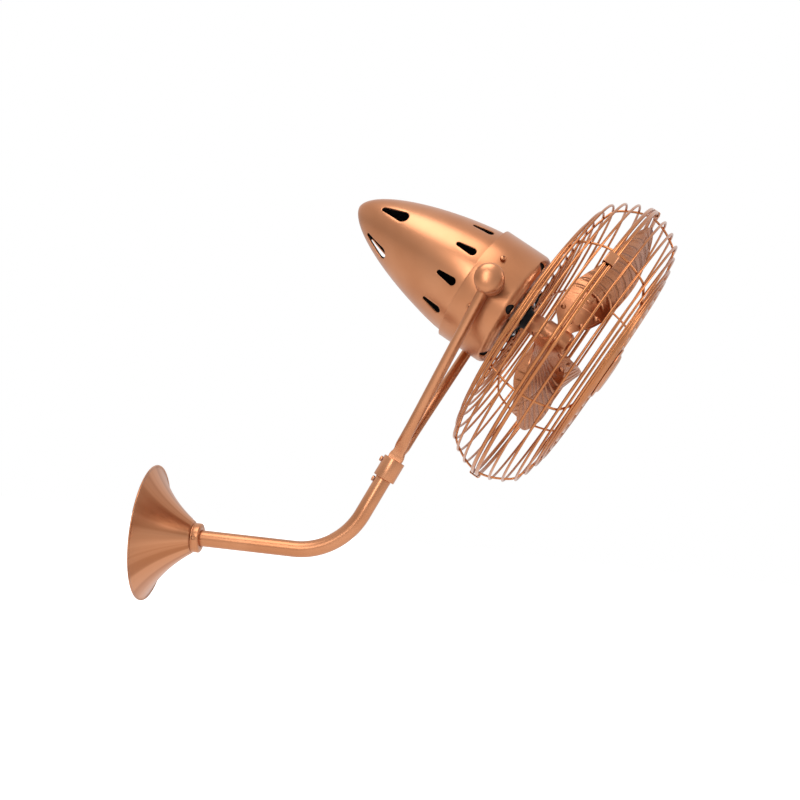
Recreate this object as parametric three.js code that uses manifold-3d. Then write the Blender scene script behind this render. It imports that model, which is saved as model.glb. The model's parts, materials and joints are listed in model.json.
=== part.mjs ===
// Wall mounted fan with a caged head on a fork, in millimetres: +X points out of the wall, +Z up.
// The origin is the middle of the wall plate's back face. -Y is the fan's own right-hand side.
import * as THREE from "three";
import { mergeVertices } from "three/addons/utils/BufferGeometryUtils.js";
import Module from "manifold-3d";

const wasm = await Module();
wasm.setup();

// ---------------------------------------------------------------- driving dimensions
const gap = 0.3; // clearance between neighbouring pieces
const weldDepth = 0.6; // how far welded wires sink into each other
const screwShank = 1.6; // the small screws of the flange, the bracket and the guard
const degree = Math.PI / 180;

const wallPlate = {
  radius: 50,
  thickness: 3,
  screwSpacing: 83,
  screwHole: 5,
  wireHole: 16,
  wireHoleOffset: 33,
};
const flange = { baseRadius: 24, baseThickness: 4, bossRadius: 13, bossLength: 18, screwCircle: 19 };
const tube = {
  radius: 8.8,
  wall: 1.6,
  straightLength: 160.9,
  bendRadius: 76.8,
  bendAngle: 65.4 * degree,
  riserLength: 43.8,
  insertion: 9,
};
const canopy = { rimRadius: 73.5, neckRadius: 17.5, depth: 50, wall: 1.2, flare: 15.5, waist: 41.5 };
const collar = { radius: 15.9, length: 9, chamfer: 1.6, setScrewRadius: 2.2 };
const sleeve = { radius: 12.1, length: 23.6, web: 2.5, lockScrewDrop: 6 };
const stud = { neckRadius: 4.8, boreRadius: 3.2, plugLength: 22, nutHeight: 3 };
const nub = { radius: 3.1, height: 2.6, driveRadius: 1.3, stopDrop: 5 }; // round screw heads on the riser
const forkArm = {
  radius: 5.8,
  bundleRadius: 7.3,
  seatDepth: 7.6,
  straight: 9,
  splay: 11.3, // half-distance of the centre lines where they begin to part, at splayStart
  splayStart: 8,
  splayHeight: 30,
};
const pivot = { height: 205.4, cupInner: 79, cupOuter: 95.2, cupRadius: 15.4, cupWall: 2, washer: 2 };
const cap = { edge: 3.6, rise: 6.2, skirtDepth: 5, groove: 0.8 };
const bolt = { radius: 3, headRadius: 5.5, headHeight: 4, boss: 10, depth: 14 };

const head = { tilt: 28.9 * degree }; // nose-down angle in the photographed pose
const cone = { length: 152.4, baseRadius: 62.4, wall: 2, bulge: 1.3, bluntness: 0.57, spigot: 4 };
const coneSlots = {
  count: 10,
  rowStart: 52.5,
  rowLength: 21,
  narrow: 2.3,
  wide: 4.2,
  tipCount: 5,
  tipStart: 144,
  tipLength: 28,
  tipNarrow: 2.6,
  tipWide: 6.2,
  firstAngle: 18 * degree,
};
const band = { rear: 24.1, front: 34, radius: 66.5, wall: 2, shoulder: 9, opening: 34, edgeRound: 1.6 };
const shoulderHoles = { count: 6, radius: 5.6, lean: 38 * degree, firstAngle: -9 * degree };
const posts = { angle: 26.4 * degree, station: 5, radius: 2.6, height: 4, length: 9 };

const motor = { radius: 46, rear: 36, stackRear: 16, stackFront: 12, shellWall: 3, air: 0.6 };
const stator = { innerRadius: 28, slots: 12, slotWidth: 5, slotDepth: 11, coilOverhang: 9 };
const neck = { radius: 28.5, wall: 5, window: 27, windowDepth: 3.6 };
const shaft = { radius: 4.5, rearEnd: 33, frontEnd: 98, flatLength: 30, flatDepth: 1 };
const bearing = { outerRadius: 11, width: 7 };

const guard = {
  station: 93.5, // equator plane, measured along the head from the tilt axis
  radius: 167,
  rimWire: 2,
  rimGap: 1.2,
  ringWire: 1.1,
  ribWire: 1.05,
  ribs: 6,
  shoulderRings: 5,
  shoulderSpan: 0.41, // share of the outline's length that the shoulder rings take
  faceRings: 8,
  faceSpan: 0.55,
  depth: 52.4,
  hub: 30,
  plate: 2,
};
// Outline of one half of the guard: [distance from the equator / depth, radius / guard radius].
const guardOutline = [
  [0.05, 1],
  [0.28, 0.982],
  [0.52, 0.946],
  [0.742, 0.895],
  [0.845, 0.82],
  [0.948, 0.677],
  [0.985, 0.4],
  [1, 0.15],
];
const clip = { length: 14, sheet: 0.9, ribs: [0, 1, 3, 4], turn: 4.5 * degree }; // turned past its rib
const badge = { radius: 30.4, step: 17, edge: 1.8, rise: 5.2 };

const bladeTipGap = 15; // from the blade tips to the middle of the rims
const blade = {
  tip: guard.radius - bladeTipGap,
  root: 24,
  sheet: 1.2,
  camber: 0.07,
  rootPitch: 76 * degree,
  tipPitch: 20 * degree,
  twist: 1.8, // how fast the pitch falls off towards the tip
  lift: 5, // how far the outer half stands forward
};
const iron = { sheet: 2, stand: 0.7, root: 12.5, outer: 41, stem: 0.45, spread: 0.94 };
const hub = { radius: 13.5, rear: 66, front: 101, round: 6 };
const shaftCollar = { radius: 11.7, rear: 50 };
const rotorPhase = 6 * degree;

// Edges of the blade in its own plane: [radius / tip radius, rear edge, front edge], mm from mid-chord.
const bladeOutline = [
  [0.16, -30, 11],
  [0.22, -32, 18],
  [0.3, -34, 26],
  [0.47, -42, 37],
  [0.64, -41, 44],
  [0.79, -41, 44],
  [0.89, -35, 35],
  [0.955, -23, 23],
  [1, -8, 8],
];

// ---------------------------------------------------------------- finishes
const finish = (color, roughness, metalness) => ({ color, roughness, metalness });
const copper = finish(0xbd805b, 0.34, 1);
const darkCopper = finish(0xa8704c, 0.4, 1);
const motorBlack = finish(0x14171b, 0.6, 0.2);
const steel = finish(0xb9bcc0, 0.35, 1);
const zinc = finish(0xc9ccd0, 0.45, 1);
const nylon = finish(0x1e1f22, 0.7, 0);
const enamelWire = finish(0x8c4a24, 0.5, 0.6);

// ---------------------------------------------------------------- shape helpers
function toSolid(geometry) {
  const bare = new THREE.BufferGeometry();
  bare.setAttribute("position", geometry.getAttribute("position"));
  bare.setIndex(geometry.index);
  const merged = mergeVertices(bare, 1e-4);
  return new wasm.Manifold(
    new wasm.Mesh({
      numProp: 3,
      vertProperties: merged.getAttribute("position").array,
      triVerts: new Uint32Array(merged.index.array),
    }),
  );
}

function toGeometry(solid) {
  const { vertProperties, triVerts } = solid.getMesh();
  const geometry = new THREE.BufferGeometry();
  geometry.setAttribute("position", new THREE.BufferAttribute(new Float32Array(vertProperties), 3));
  geometry.setIndex(new THREE.BufferAttribute(new Uint32Array(triVerts), 1));
  return geometry;
}

function join(...geometries) {
  return toGeometry(geometries.map(toSolid).reduce((whole, piece) => whole.add(piece)));
}

function cut(base, ...tools) {
  return toGeometry(tools.map(toSolid).reduce((rest, tool) => rest.subtract(tool), toSolid(base)));
}

function common(first, second) {
  return toGeometry(toSolid(first).intersect(toSolid(second)));
}

// A body turned round the X axis from a profile of [x, radius] points.
function revolve(profile, segments) {
  const points = profile.map(([x, radius]) => new THREE.Vector2(radius, x));
  if (THREE.ShapeUtils.area(points) < 0) points.reverse();
  return new THREE.LatheGeometry(points, segments).rotateZ(-Math.PI / 2);
}

// A plain rod or ring round the X axis, from one station to another.
function rod(from, to, radius, segments = 16) {
  return revolve([[from, 0], [from, radius], [to, radius], [to, 0]], segments);
}

function ring(from, to, inner, outer, segments = 24) {
  const profile = [[from, inner], [from, outer], [to, outer], [to, inner], [from, inner]];
  return revolve(profile, segments);
}

// A rod whose axis is Z or Y instead of X.
const alongZ = (geometry) => geometry.rotateY(-Math.PI / 2);
const alongY = (geometry) => geometry.rotateZ(Math.PI / 2);

function block(x, y, z, length, width, height) {
  return new THREE.BoxGeometry(length, width, height).translate(x, y, z);
}

function circleOutline(radius, sides, turn = 0) {
  return Array.from({ length: sides }, (_, i) => {
    const angle = turn + (i / sides) * 2 * Math.PI;
    return new THREE.Vector2(radius * Math.cos(angle), radius * Math.sin(angle));
  });
}

// A closed body through a row of rings that all have the same number of points.
function loft(rings) {
  const sides = rings[0].length;
  const positions = rings.flat().flatMap((point) => point.toArray());
  const faces = [];
  for (let i = 0; i + 1 < rings.length; i += 1) {
    for (let j = 0; j < sides; j += 1) {
      const here = i * sides + j;
      const next = i * sides + ((j + 1) % sides);
      faces.push(here, next, next + sides, here, next + sides, here + sides);
    }
  }
  const last = (rings.length - 1) * sides;
  const cap = (a, b, c) => faces.push(a, c, b, last + a, last + b, last + c);
  for (let low = 0, high = sides - 1; low + 1 < high; low += 1, high -= 1) {
    cap(low, low + 1, high);
    if (low + 1 < high - 1) cap(low + 1, high - 1, high);
  }
  const geometry = new THREE.BufferGeometry();
  geometry.setAttribute("position", new THREE.Float32BufferAttribute(positions, 3));
  geometry.setIndex(faces);
  return geometry;
}

// A sheet of even thickness over a grid of points: each row is cut across, from its two sides.
function sheet(pointAt, normalAt, rows, columns, from, to) {
  const rings = [];
  for (let i = 0; i <= rows; i += 1) {
    const row = [];
    for (let j = 0; j <= columns; j += 1) row.push(offsetPoint(i / rows, j / columns, from));
    for (let j = columns; j >= 0; j -= 1) row.push(offsetPoint(i / rows, j / columns, to));
    rings.push(row);
  }
  function offsetPoint(u, v, distance) {
    return pointAt(u, v).addScaledVector(normalAt(u, v), distance);
  }
  return loft(rings);
}

function piece(name, geometry, look) {
  const flat = geometry.index ? geometry.toNonIndexed() : geometry;
  flat.deleteAttribute("normal");
  flat.deleteAttribute("uv");
  flat.computeVertexNormals();
  const mesh = new THREE.Mesh(flat, new THREE.MeshStandardMaterial(look));
  mesh.name = name;
  return mesh;
}

function group(...children) {
  const made = new THREE.Group();
  made.add(...children);
  return made;
}

// One numbered piece for each angle, turned about the X axis.
function pieces(name, angles, make, look) {
  return angles.map((angle, i) => {
    const made = piece(`${name}_${i + 1}`, make(), look);
    made.rotation.x = angle;
    return made;
  });
}

// ---------------------------------------------------------------- wall side
function makeWallPlate() {
  const { radius, thickness, screwSpacing, screwHole, wireHole, wireHoleOffset } = wallPlate;
  const disc = rod(0, thickness, radius, 24);
  const through = (r, y, z) => rod(-1, thickness + 1, r, 8).translate(0, y, z);
  const screwHoles = [-1, 1].map((side) => through(screwHole / 2, 0, (side * screwSpacing) / 2));
  const flangeHoles = flangeAngles().map((angle) => {
    return rod(1, thickness + 1, screwShank + gap, 6).translate(0, 0, flange.screwCircle).rotateX(angle);
  });
  return cut(disc, ...screwHoles, through(wireHole / 2, wireHoleOffset, 0), ...flangeHoles);
}

function flangeAngles() {
  return [30, 150, 270].map((angle) => angle * degree);
}

function makeFlange() {
  const { baseRadius, baseThickness, bossRadius, bossLength, screwCircle } = flange;
  const start = wallPlate.thickness;
  const shell = revolve(
    [
      [start, 0],
      [start, baseRadius],
      [start + baseThickness, baseRadius - 0.5],
      [start + baseThickness, bossRadius + 2],
      [start + baseThickness + 2, bossRadius],
      [start + bossLength, bossRadius - 0.8],
      [start + bossLength, 0],
    ],
    14,
  );
  const socket = rod(tubeStart() - gap, start + bossLength + 1, tube.radius + gap, 14);
  const holes = flangeAngles().map((angle) => {
    const hole = rod(start - 1, start + baseThickness + 1, screwShank + gap, 6);
    return hole.translate(0, 0, screwCircle).rotateX(angle);
  });
  return cut(shell, socket, ...holes);
}

// The tube stands on the floor of the flange's socket.
function tubeStart() {
  return wallPlate.thickness + flange.baseThickness;
}

function makeFlangeScrew() {
  const seat = wallPlate.thickness + flange.baseThickness + gap;
  return revolve(
    [
      [1.5, 0],
      [1.5, screwShank],
      [seat, screwShank],
      [seat, screwShank * 2],
      [seat + 1.8, screwShank],
      [seat + 1.8, 0],
    ],
    6,
  ).translate(0, 0, flange.screwCircle);
}

// Centre line of the bent tube: straight out of the wall, one bend upwards, and a short riser.
class ArmCurve extends THREE.Curve {
  constructor() {
    super();
    this.lengths = [
      tube.straightLength - tubeStart(),
      tube.bendRadius * tube.bendAngle,
      tube.riserLength + tube.insertion,
    ];
  }

  getPoint(t, target = new THREE.Vector3()) {
    const [straight, bend, riser] = this.lengths;
    const distance = t * (straight + bend + riser);
    if (distance <= straight) return target.set(tubeStart() + distance, 0, 0);
    const turned = Math.min(distance - straight, bend) / tube.bendRadius;
    target.set(
      tube.straightLength + tube.bendRadius * Math.sin(turned),
      0,
      tube.bendRadius * (1 - Math.cos(turned)),
    );
    const rest = Math.max(distance - straight - bend, 0);
    target.x += rest * Math.cos(turned);
    target.z += rest * Math.sin(turned);
    return target;
  }
}

function makeArmTube() {
  const section = new THREE.Shape(circleOutline(tube.radius, 10));
  section.holes.push(new THREE.Path(circleOutline(tube.radius - tube.wall, 6)));
  return new THREE.ExtrudeGeometry(section, {
    steps: 14,
    bevelEnabled: false,
    extrudePath: new ArmCurve(),
  });
}

function makeCanopy() {
  const { rimRadius, neckRadius, depth, wall, flare, waist } = canopy;
  const rim = wallPlate.thickness / 3;
  const curve = new THREE.QuadraticBezierCurve(
    new THREE.Vector2(rim, rimRadius),
    new THREE.Vector2(flare, waist),
    new THREE.Vector2(depth, neckRadius),
  );
  const outside = curve.getPoints(5).map(({ x, y }) => [x, y]);
  const inside = outside.slice(0, -1).map(([x, y]) => [x, y - wall * 1.6]);
  inside[0][1] = rimRadius - wall;
  const bore = tube.radius + gap;
  const profile = [...outside, [depth, bore], [depth - wall, bore], ...inside.reverse(), outside[0]];
  return revolve(profile, 20);
}

function makeCollar() {
  const from = canopy.depth + gap;
  const { radius, length, chamfer, setScrewRadius } = collar;
  const bore = tube.radius + gap;
  const body = revolve(
    [
      [from, bore],
      [from, radius],
      [from + length - chamfer, radius],
      [from + length, radius - chamfer],
      [from + length, bore],
      [from, bore],
    ],
    14,
  );
  return cut(body, setScrewHole(setScrewRadius + gap, tube.radius - 1, radius + 2));
}

// The set screw points at the fan's right-hand side, square to the tube.
function setScrewHole(radius, from, to) {
  const middle = canopy.depth + gap + (collar.length - collar.chamfer) / 2;
  return alongY(rod(-to, -from, radius, 6)).translate(middle, 0, 0);
}

function makeSetScrew() {
  const from = tube.radius + gap;
  const screw = setScrewHole(collar.setScrewRadius, from, collar.radius - 0.8);
  return cut(screw, setScrewHole(1.1, collar.radius - 2.6, collar.radius + 1));
}

// ---------------------------------------------------------------- swivel, in the frame of the riser
// Local Z runs up the riser from the lower end of the sleeve; local -X faces the wall.
function makeStud() {
  const top = tube.insertion;
  const bore = (tube.radius - tube.wall) * 0.85 - gap;
  const body = alongZ(
    revolve(
      [
        [top - stud.plugLength, 0],
        [top - stud.plugLength, bore],
        [top - 1, bore],
        [top, bore - 1],
        [top, stud.neckRadius],
        [studTop(), stud.neckRadius],
        [studTop(), 0],
      ],
      12,
    ),
  );
  const passage = alongZ(rod(top - stud.plugLength - 1, studTop() + 1, stud.boreRadius, 8));
  return cut(body, passage);
}

function webTop() {
  return tube.insertion + gap + sleeve.web;
}

function studTop() {
  return webTop() + gap + stud.nutHeight;
}

function makeStudNut() {
  const from = webTop() + gap;
  const hexagon = new THREE.Shape(circleOutline(forkArm.bundleRadius - 0.2, 6));
  hexagon.holes.push(new THREE.Path(circleOutline(stud.neckRadius + gap, 12)));
  const nut = new THREE.ExtrudeGeometry(hexagon, { depth: stud.nutHeight, bevelEnabled: false });
  return nut.translate(0, 0, from);
}

function makeSleeve() {
  const lower = tube.radius + gap;
  const upper = forkArm.bundleRadius + gap;
  const { radius, length } = sleeve;
  const body = alongZ(
    revolve(
      [
        [0, lower],
        [0, radius - 0.8],
        [0.8, radius],
        [length - 0.8, radius],
        [length, radius - 0.8],
        [length, upper],
        [webTop(), upper],
        [webTop(), stud.neckRadius + gap],
        [tube.insertion + gap, stud.neckRadius + gap],
        [tube.insertion + gap, lower],
        [0, lower],
      ],
      14,
    ),
  );
  const hole = rod(-radius - 1, -1, nub.radius * 0.6 + gap, 6);
  return cut(body, hole.translate(0, 0, sleeve.length - sleeve.lockScrewDrop));
}

// A round-headed screw pointing at the riser's axis from the wall side.
function makeNub(surface, tip) {
  const shank = nub.radius * 0.6;
  const out = surface + gap;
  const screw = revolve(
    [
      [-tip, 0],
      [-tip, shank],
      [-out, shank],
      [-out, nub.radius],
      [-out - nub.height * 0.6, nub.radius],
      [-out - nub.height, nub.radius * 0.6],
      [-out - nub.height, 0],
    ],
    6,
  );
  return cut(screw, rod(-out - nub.height - 1, -out - nub.height * 0.4, nub.driveRadius, 4));
}

function makeLockScrew() {
  const height = sleeve.length - sleeve.lockScrewDrop;
  return makeNub(sleeve.radius, forkArm.bundleRadius + gap).translate(0, 0, height);
}

function makeStopScrew() {
  return makeNub(tube.radius, tube.radius - tube.wall + gap).translate(0, 0, -nub.stopDrop);
}

function stopScrewHole() {
  const { radius, wall } = tube;
  return rod(-radius - 2, -radius + wall + 1, nub.radius * 0.6 + gap, 6).translate(0, 0, -nub.stopDrop);
}

// ---------------------------------------------------------------- fork
// Half-height of the section across the fork, from the flattened foot to the round tube.
function armSection(roundness, side) {
  const foot = forkArm.bundleRadius;
  const points = [];
  for (let i = 0; i < 10; i += 1) {
    const angle = ((i + 0.5) / 10) * 2 * Math.PI;
    const half = new THREE.Vector2(foot * Math.cos(angle), foot * Math.max(Math.sin(angle), 0) - foot / 2);
    if (Math.sin(angle) < 0) half.set(foot * 0.95 * Math.cos(angle), gap / 2 - foot / 2);
    const round = new THREE.Vector2(Math.cos(angle), Math.sin(angle)).multiplyScalar(forkArm.radius);
    points.push(half.lerp(round, roundness));
  }
  return side > 0 ? points : points.map((point) => new THREE.Vector2(point.x, -point.y)).reverse();
}

// Centre line of one arm, from its seat in the sleeve to its cup.
function armCurve(side) {
  const seat = sleeve.length - forkArm.seatDepth;
  const half = forkArm.bundleRadius / 2;
  const top = (pivot.cupInner + pivot.cupOuter) / 2 + 2;
  const rise = pivot.height + sleeve.length;
  const { splay, splayStart, splayHeight } = forkArm;
  const slope = (top - splay) / (pivot.height - splayStart);
  const splayed = sleeve.length + splayHeight;
  const splayY = splay + slope * (splayHeight - splayStart);
  return new THREE.CatmullRomCurve3(
    [
      [half, seat],
      [half, sleeve.length],
      [half + 1.2, sleeve.length + forkArm.straight],
      [splayY, splayed],
      [splayY + slope * splayHeight, splayed + splayHeight],
      [(splayY + slope * splayHeight + top) / 2, (splayed + splayHeight + rise) / 2],
      [top, rise],
    ].map(([y, z]) => new THREE.Vector3(0, side * y, z)),
  );
}

function makeForkArm(side) {
  const curve = armCurve(side);
  const stations = [0, 0.04, 0.08, 0.12, 0.16, 0.2, 0.25, 0.32, 0.45, 0.7, 1];
  const rings = stations.map((t) => {
    const centre = curve.getPointAt(t);
    const tangent = t === 0 ? new THREE.Vector3(0, 0, 1) : curve.getTangentAt(t);
    const across = new THREE.Vector3(1, 0, 0);
    const outward = new THREE.Vector3().crossVectors(tangent, across);
    const roundness = THREE.MathUtils.smoothstep(t, 0.05, 0.24);
    return armSection(roundness, 1).map(({ x, y }) => {
      return centre.clone().addScaledVector(across, x).addScaledVector(outward, y * side);
    });
  });
  if (side < 0) rings.forEach((points) => points.reverse());
  const cupEnvelope = cupBody(pivot.cupRadius + gap, 0).translate(0, 0, sleeve.length + pivot.height);
  return cut(loft(rings), side > 0 ? cupEnvelope : cupEnvelope.rotateZ(Math.PI));
}

// ---------------------------------------------------------------- pivots, on the +Y side
// Local Y is the tilt axis; the copy for the other side is turned half round Z.
function cupBody(radius, chamfer = 1) {
  const { cupInner, cupOuter } = pivot;
  return alongY(
    revolve(
      [
        [cupInner, 0],
        [cupInner, radius - chamfer],
        [cupInner + chamfer, radius],
        [cupOuter, radius],
        [cupOuter, 0],
      ],
      12,
    ),
  );
}

function makeCup() {
  const { cupInner, cupOuter, cupRadius, cupWall } = pivot;
  const hollow = alongY(rod(cupInner + cupWall, cupOuter + 1, cupRadius - cupWall, 12));
  const hole = alongY(rod(cupInner - 1, cupInner + cupWall + 1, bolt.radius + gap, 8));
  return cut(cupBody(cupRadius), hollow, hole);
}

function makeCap() {
  const skirt = pivot.cupRadius - pivot.cupWall - gap;
  const seat = pivot.cupOuter + gap;
  const { edge, rise, skirtDepth, groove } = cap;
  const radius = pivot.cupRadius;
  return alongY(
    revolve(
      [
        [seat + edge + rise - 1.6, 0],
        [seat + edge - 1, radius * 0.6],
        [seat, skirt - 1.4],
        [seat - skirtDepth, skirt - 1.4],
        [seat - skirtDepth, skirt],
        [seat, skirt],
        [seat, radius - groove],
        [seat + groove, radius],
        [seat + edge, radius - 0.4],
        [seat + edge + rise * 0.45, radius * 0.82],
        [seat + edge + rise * 0.85, radius * 0.45],
        [seat + edge + rise, 0],
      ],
      12,
    ),
  );
}

function bossEnd() {
  return pivot.cupInner - pivot.washer - 2 * gap;
}

function makeWasher() {
  const from = bossEnd() + gap;
  return alongY(ring(from, from + pivot.washer, bolt.radius + gap, bolt.boss, 12));
}

function makeBolt() {
  const seat = pivot.cupInner + pivot.cupWall + gap;
  const shank = alongY(rod(bossEnd() - bolt.depth, seat + 0.5, bolt.radius, 8));
  const hexHead = alongY(rod(seat, seat + bolt.headHeight, bolt.headRadius, 6));
  return join(shank, hexHead);
}

// ---------------------------------------------------------------- housing, along the head's X axis
// Angles round the head start at its right-hand side (-Y) and grow towards its top (+Z).
const turnTo = (geometry, angle) => geometry.rotateX(Math.PI / 2 - angle);

function coneRadius(x) {
  const share = THREE.MathUtils.clamp((-band.rear - x) / cone.length, 0, 1);
  return cone.baseRadius * (1 - share ** cone.bulge) ** cone.bluntness;
}

function makeRearHousing() {
  const shares = [0, 0.25, 0.45, 0.6, 0.79, 0.92, 0.98];
  const outside = shares.map((share) => {
    const x = -band.rear - share * cone.length;
    return [x, coneRadius(x)];
  });
  const tip = -band.rear - cone.length;
  const inward = ([x, radius]) => [x + cone.wall * 0.3, radius - cone.wall * 1.15];
  const inside = outside.slice(0, -2).map(inward);
  const lip = band.radius - band.wall - gap;
  const shell = revolve(
    [
      [-band.rear + cone.spigot, lip - cone.wall],
      [-band.rear + cone.spigot, lip],
      [-band.rear - gap, lip],
      [-band.rear - gap, coneRadius(-band.rear)],
      ...outside.slice(1),
      [tip, 0],
      [tip + cone.wall * 1.6, 0],
      ...inside.reverse(),
      [-band.rear + cone.spigot, lip - cone.wall],
    ],
    20,
  ).rotateX(Math.PI / 20);
  const { rowStart, rowLength, narrow, wide, count } = coneSlots;
  const { tipStart, tipLength, tipNarrow, tipWide, tipCount } = coneSlots;
  const row = slotTools(rowStart, rowLength, narrow, wide, count);
  return cut(shell, ...row, ...slotTools(tipStart, tipLength, tipNarrow, tipWide, tipCount));
}

// Teardrops, narrow towards the tip of the cone, cut radially outwards from near the axis.
function slotTools(start, length, narrow, wide, count) {
  const halfRound = (x, radius, turn, steps) => {
    return Array.from({ length: steps + 1 }, (_, i) => {
      const angle = turn + (i / steps) * Math.PI;
      return new THREE.Vector2(x + radius * Math.cos(angle), radius * Math.sin(angle));
    });
  };
  const narrowEnd = halfRound(-start + narrow, narrow, Math.PI / 2, 2);
  const wideEnd = halfRound(-start + length - wide, wide, -Math.PI / 2, 4);
  const outline = new THREE.Shape([...narrowEnd, ...wideEnd]);
  const tool = new THREE.ExtrudeGeometry(outline, { depth: band.radius, bevelEnabled: false });
  tool.translate(0, 0, wide + 1);
  return Array.from({ length: count }, (_, i) => {
    return turnTo(tool.clone(), coneSlots.firstAngle + (i / count) * 2 * Math.PI);
  });
}

function makeFrontHousing() {
  const { rear, front, radius, wall, shoulder, opening, edgeRound } = band;
  const arc = (size, offset) => {
    return [0, 0.5, 1].map((share) => {
      const angle = (1 - share) * (Math.PI / 2);
      const centre = [front - shoulder, radius - shoulder];
      return [centre[0] + size * Math.cos(angle) + offset, centre[1] + size * Math.sin(angle)];
    });
  };
  const shell = revolve(
    [
      [-rear, radius - wall],
      [-rear, radius - edgeRound],
      [-rear + edgeRound, radius],
      ...arc(shoulder, 0),
      [front, opening],
      [front - wall, opening],
      ...arc(shoulder - wall, 0).reverse(),
      [-rear, radius - wall],
    ],
    20,
  ).rotateX(Math.PI / 20);
  const boss = alongY(rod(radius - wall - 3, bossEnd(), bolt.boss, 12));
  const thread = alongY(rod(radius - wall - 8, bossEnd() + 1, bolt.radius + gap, 8));
  const halfTurn = (geometry) => geometry.clone().rotateZ(Math.PI);
  const drill = rod(-shoulder, shoulder * 2, shoulderHoles.radius, 8);
  drill.rotateY(-shoulderHoles.lean);
  drill.translate(front - shoulder, 0, radius - shoulder);
  const holes = Array.from({ length: shoulderHoles.count }, (_, i) => {
    const angle = shoulderHoles.firstAngle + (i / shoulderHoles.count) * 2 * Math.PI;
    return turnTo(drill.clone(), angle);
  });
  const postHoles = postAngles().map((angle) => {
    const hole = alongZ(rod(radius - wall - 2, radius + 2, screwShank + gap, 6));
    return turnTo(hole.translate(-posts.station, 0, 0), angle);
  });
  const bossed = join(shell, boss, halfTurn(boss));
  return cut(bossed, thread, halfTurn(thread), ...holes, ...postHoles);
}

function postAngles() {
  return [posts.angle, -posts.angle, Math.PI + posts.angle, Math.PI - posts.angle];
}

// Round-headed screws that hold the motor bracket; they stand proud of the band on both sides.
function makePost() {
  const seat = band.radius + gap;
  const { radius, height, length } = posts;
  const screw = revolve(
    [
      [seat - length, 0],
      [seat - length, screwShank],
      [seat, screwShank],
      [seat, radius],
      [seat + height * 0.7, radius],
      [seat + height, radius * 0.65],
      [seat + height, 0],
    ],
    6,
  );
  return alongZ(screw).translate(-posts.station, 0, 0);
}

// ---------------------------------------------------------------- motor
function makeRearBell() {
  const { radius, rear, stackRear, shellWall } = motor;
  const pocket = bearing.outerRadius + gap;
  return revolve(
    [
      [-rear, shaft.radius + gap],
      [-rear, pocket + 3],
      [-rear + 6, pocket + 5],
      [-rear + 7, radius - 6],
      [-rear + 12, radius],
      [-stackRear - gap, radius],
      [-stackRear - gap, radius - shellWall],
      [-rear + 12, radius - shellWall],
      [-rear + 10, radius - 8],
      [-rear + shellWall + bearing.width, pocket + 3],
      [-rear + shellWall + bearing.width, pocket],
      [-rear + shellWall, pocket],
      [-rear + shellWall, shaft.radius + gap],
      [-rear, shaft.radius + gap],
    ],
    16,
  );
}

// The motor's front bell seats against the inside of the housing's front wall.
function neckStart() {
  return band.front - band.wall - gap;
}

function neckEnd() {
  return guard.station - guard.depth - guard.ringWire - guard.plate - gap;
}

function makeFrontBell() {
  const { radius, stackFront, shellWall } = motor;
  const start = neckStart();
  const pocket = bearing.outerRadius + gap;
  const inner = neck.radius - neck.wall;
  const body = revolve(
    [
      [stackFront + gap, radius - shellWall],
      [stackFront + gap, radius],
      [start - 4, radius],
      [start, radius - 4],
      [start, neck.radius],
      [neckEnd(), neck.radius],
      [neckEnd(), inner],
      [start + 1, inner],
      [start, pocket + 3],
      [start, shaft.radius + gap],
      [start - shellWall, shaft.radius + gap],
      [start - shellWall, pocket],
      [start - shellWall - bearing.width, pocket],
      [start - shellWall - bearing.width, pocket + 3],
      [start - shellWall - 2, radius - 8],
      [start - 5, radius - shellWall],
      [stackFront + gap, radius - shellWall],
    ],
    16,
  );
  const { windowDepth } = neck;
  const windowMiddle = neckEnd() - windowDepth / 2 + 0.5;
  const window = block(windowMiddle, 0, 0, windowDepth + 1, neck.radius * 3, neck.window);
  const screwHole = rod(start + 3, neckEnd() + 1, screwShank + gap, 6).translate(0, 0, neckScrewCircle());
  const holes = neckScrewAngles().map((angle) => screwHole.clone().rotateX(angle));
  return cut(body, window, window.clone().rotateX(Math.PI / 2), ...holes);
}

function neckScrewAngles() {
  return [45, 135, 225, 315].map((angle) => angle * degree);
}

function neckScrewCircle() {
  return neck.radius - neck.wall / 2;
}

function makeGuardScrew() {
  const seat = neckEnd() + gap * 2 + guard.plate;
  return revolve(
    [
      [neckStart() + 4, 0],
      [neckStart() + 4, screwShank],
      [seat, screwShank],
      [seat, screwShank * 2],
      [seat + 1.7, screwShank],
      [seat + 1.7, 0],
    ],
    6,
  ).translate(0, 0, neckScrewCircle());
}

function makeStator() {
  const outline = new THREE.Shape(circleOutline(motor.radius, 12));
  const bore = new THREE.Path(circleOutline(stator.innerRadius, 24));
  outline.holes.push(bore);
  const length = motor.stackRear + motor.stackFront;
  const stack = new THREE.ExtrudeGeometry(outline, { depth: length, bevelEnabled: false });
  stack.rotateY(Math.PI / 2).translate(-motor.stackRear, 0, 0);
  const middle = (motor.stackFront - motor.stackRear) / 2;
  const radial = stator.innerRadius + stator.slotDepth / 2 - 1;
  const slot = block(middle, 0, radial, length + 2, stator.slotWidth, stator.slotDepth + 2);
  const slots = Array.from({ length: stator.slots }, (_, i) => {
    return slot.clone().rotateX((i / stator.slots) * 2 * Math.PI);
  });
  return cut(stack, ...slots);
}

// The end turns of the winding, one bundle on each face of the stack.
function makeCoil(face, direction) {
  const inner = stator.innerRadius + 1.5;
  const outer = stator.innerRadius + stator.slotDepth;
  const from = face + direction * gap;
  const far = face + direction * stator.coilOverhang;
  return revolve(
    [
      [from, inner],
      [from, outer],
      [far - direction * 2, outer],
      [far, outer - 2],
      [far, inner + 2],
      [far - direction * 2, inner],
      [from, inner],
    ],
    10,
  );
}

function makeRotorCore() {
  const radius = stator.innerRadius - motor.air;
  return ring(-motor.stackRear, motor.stackFront, shaft.radius + gap, radius, 12);
}

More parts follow.
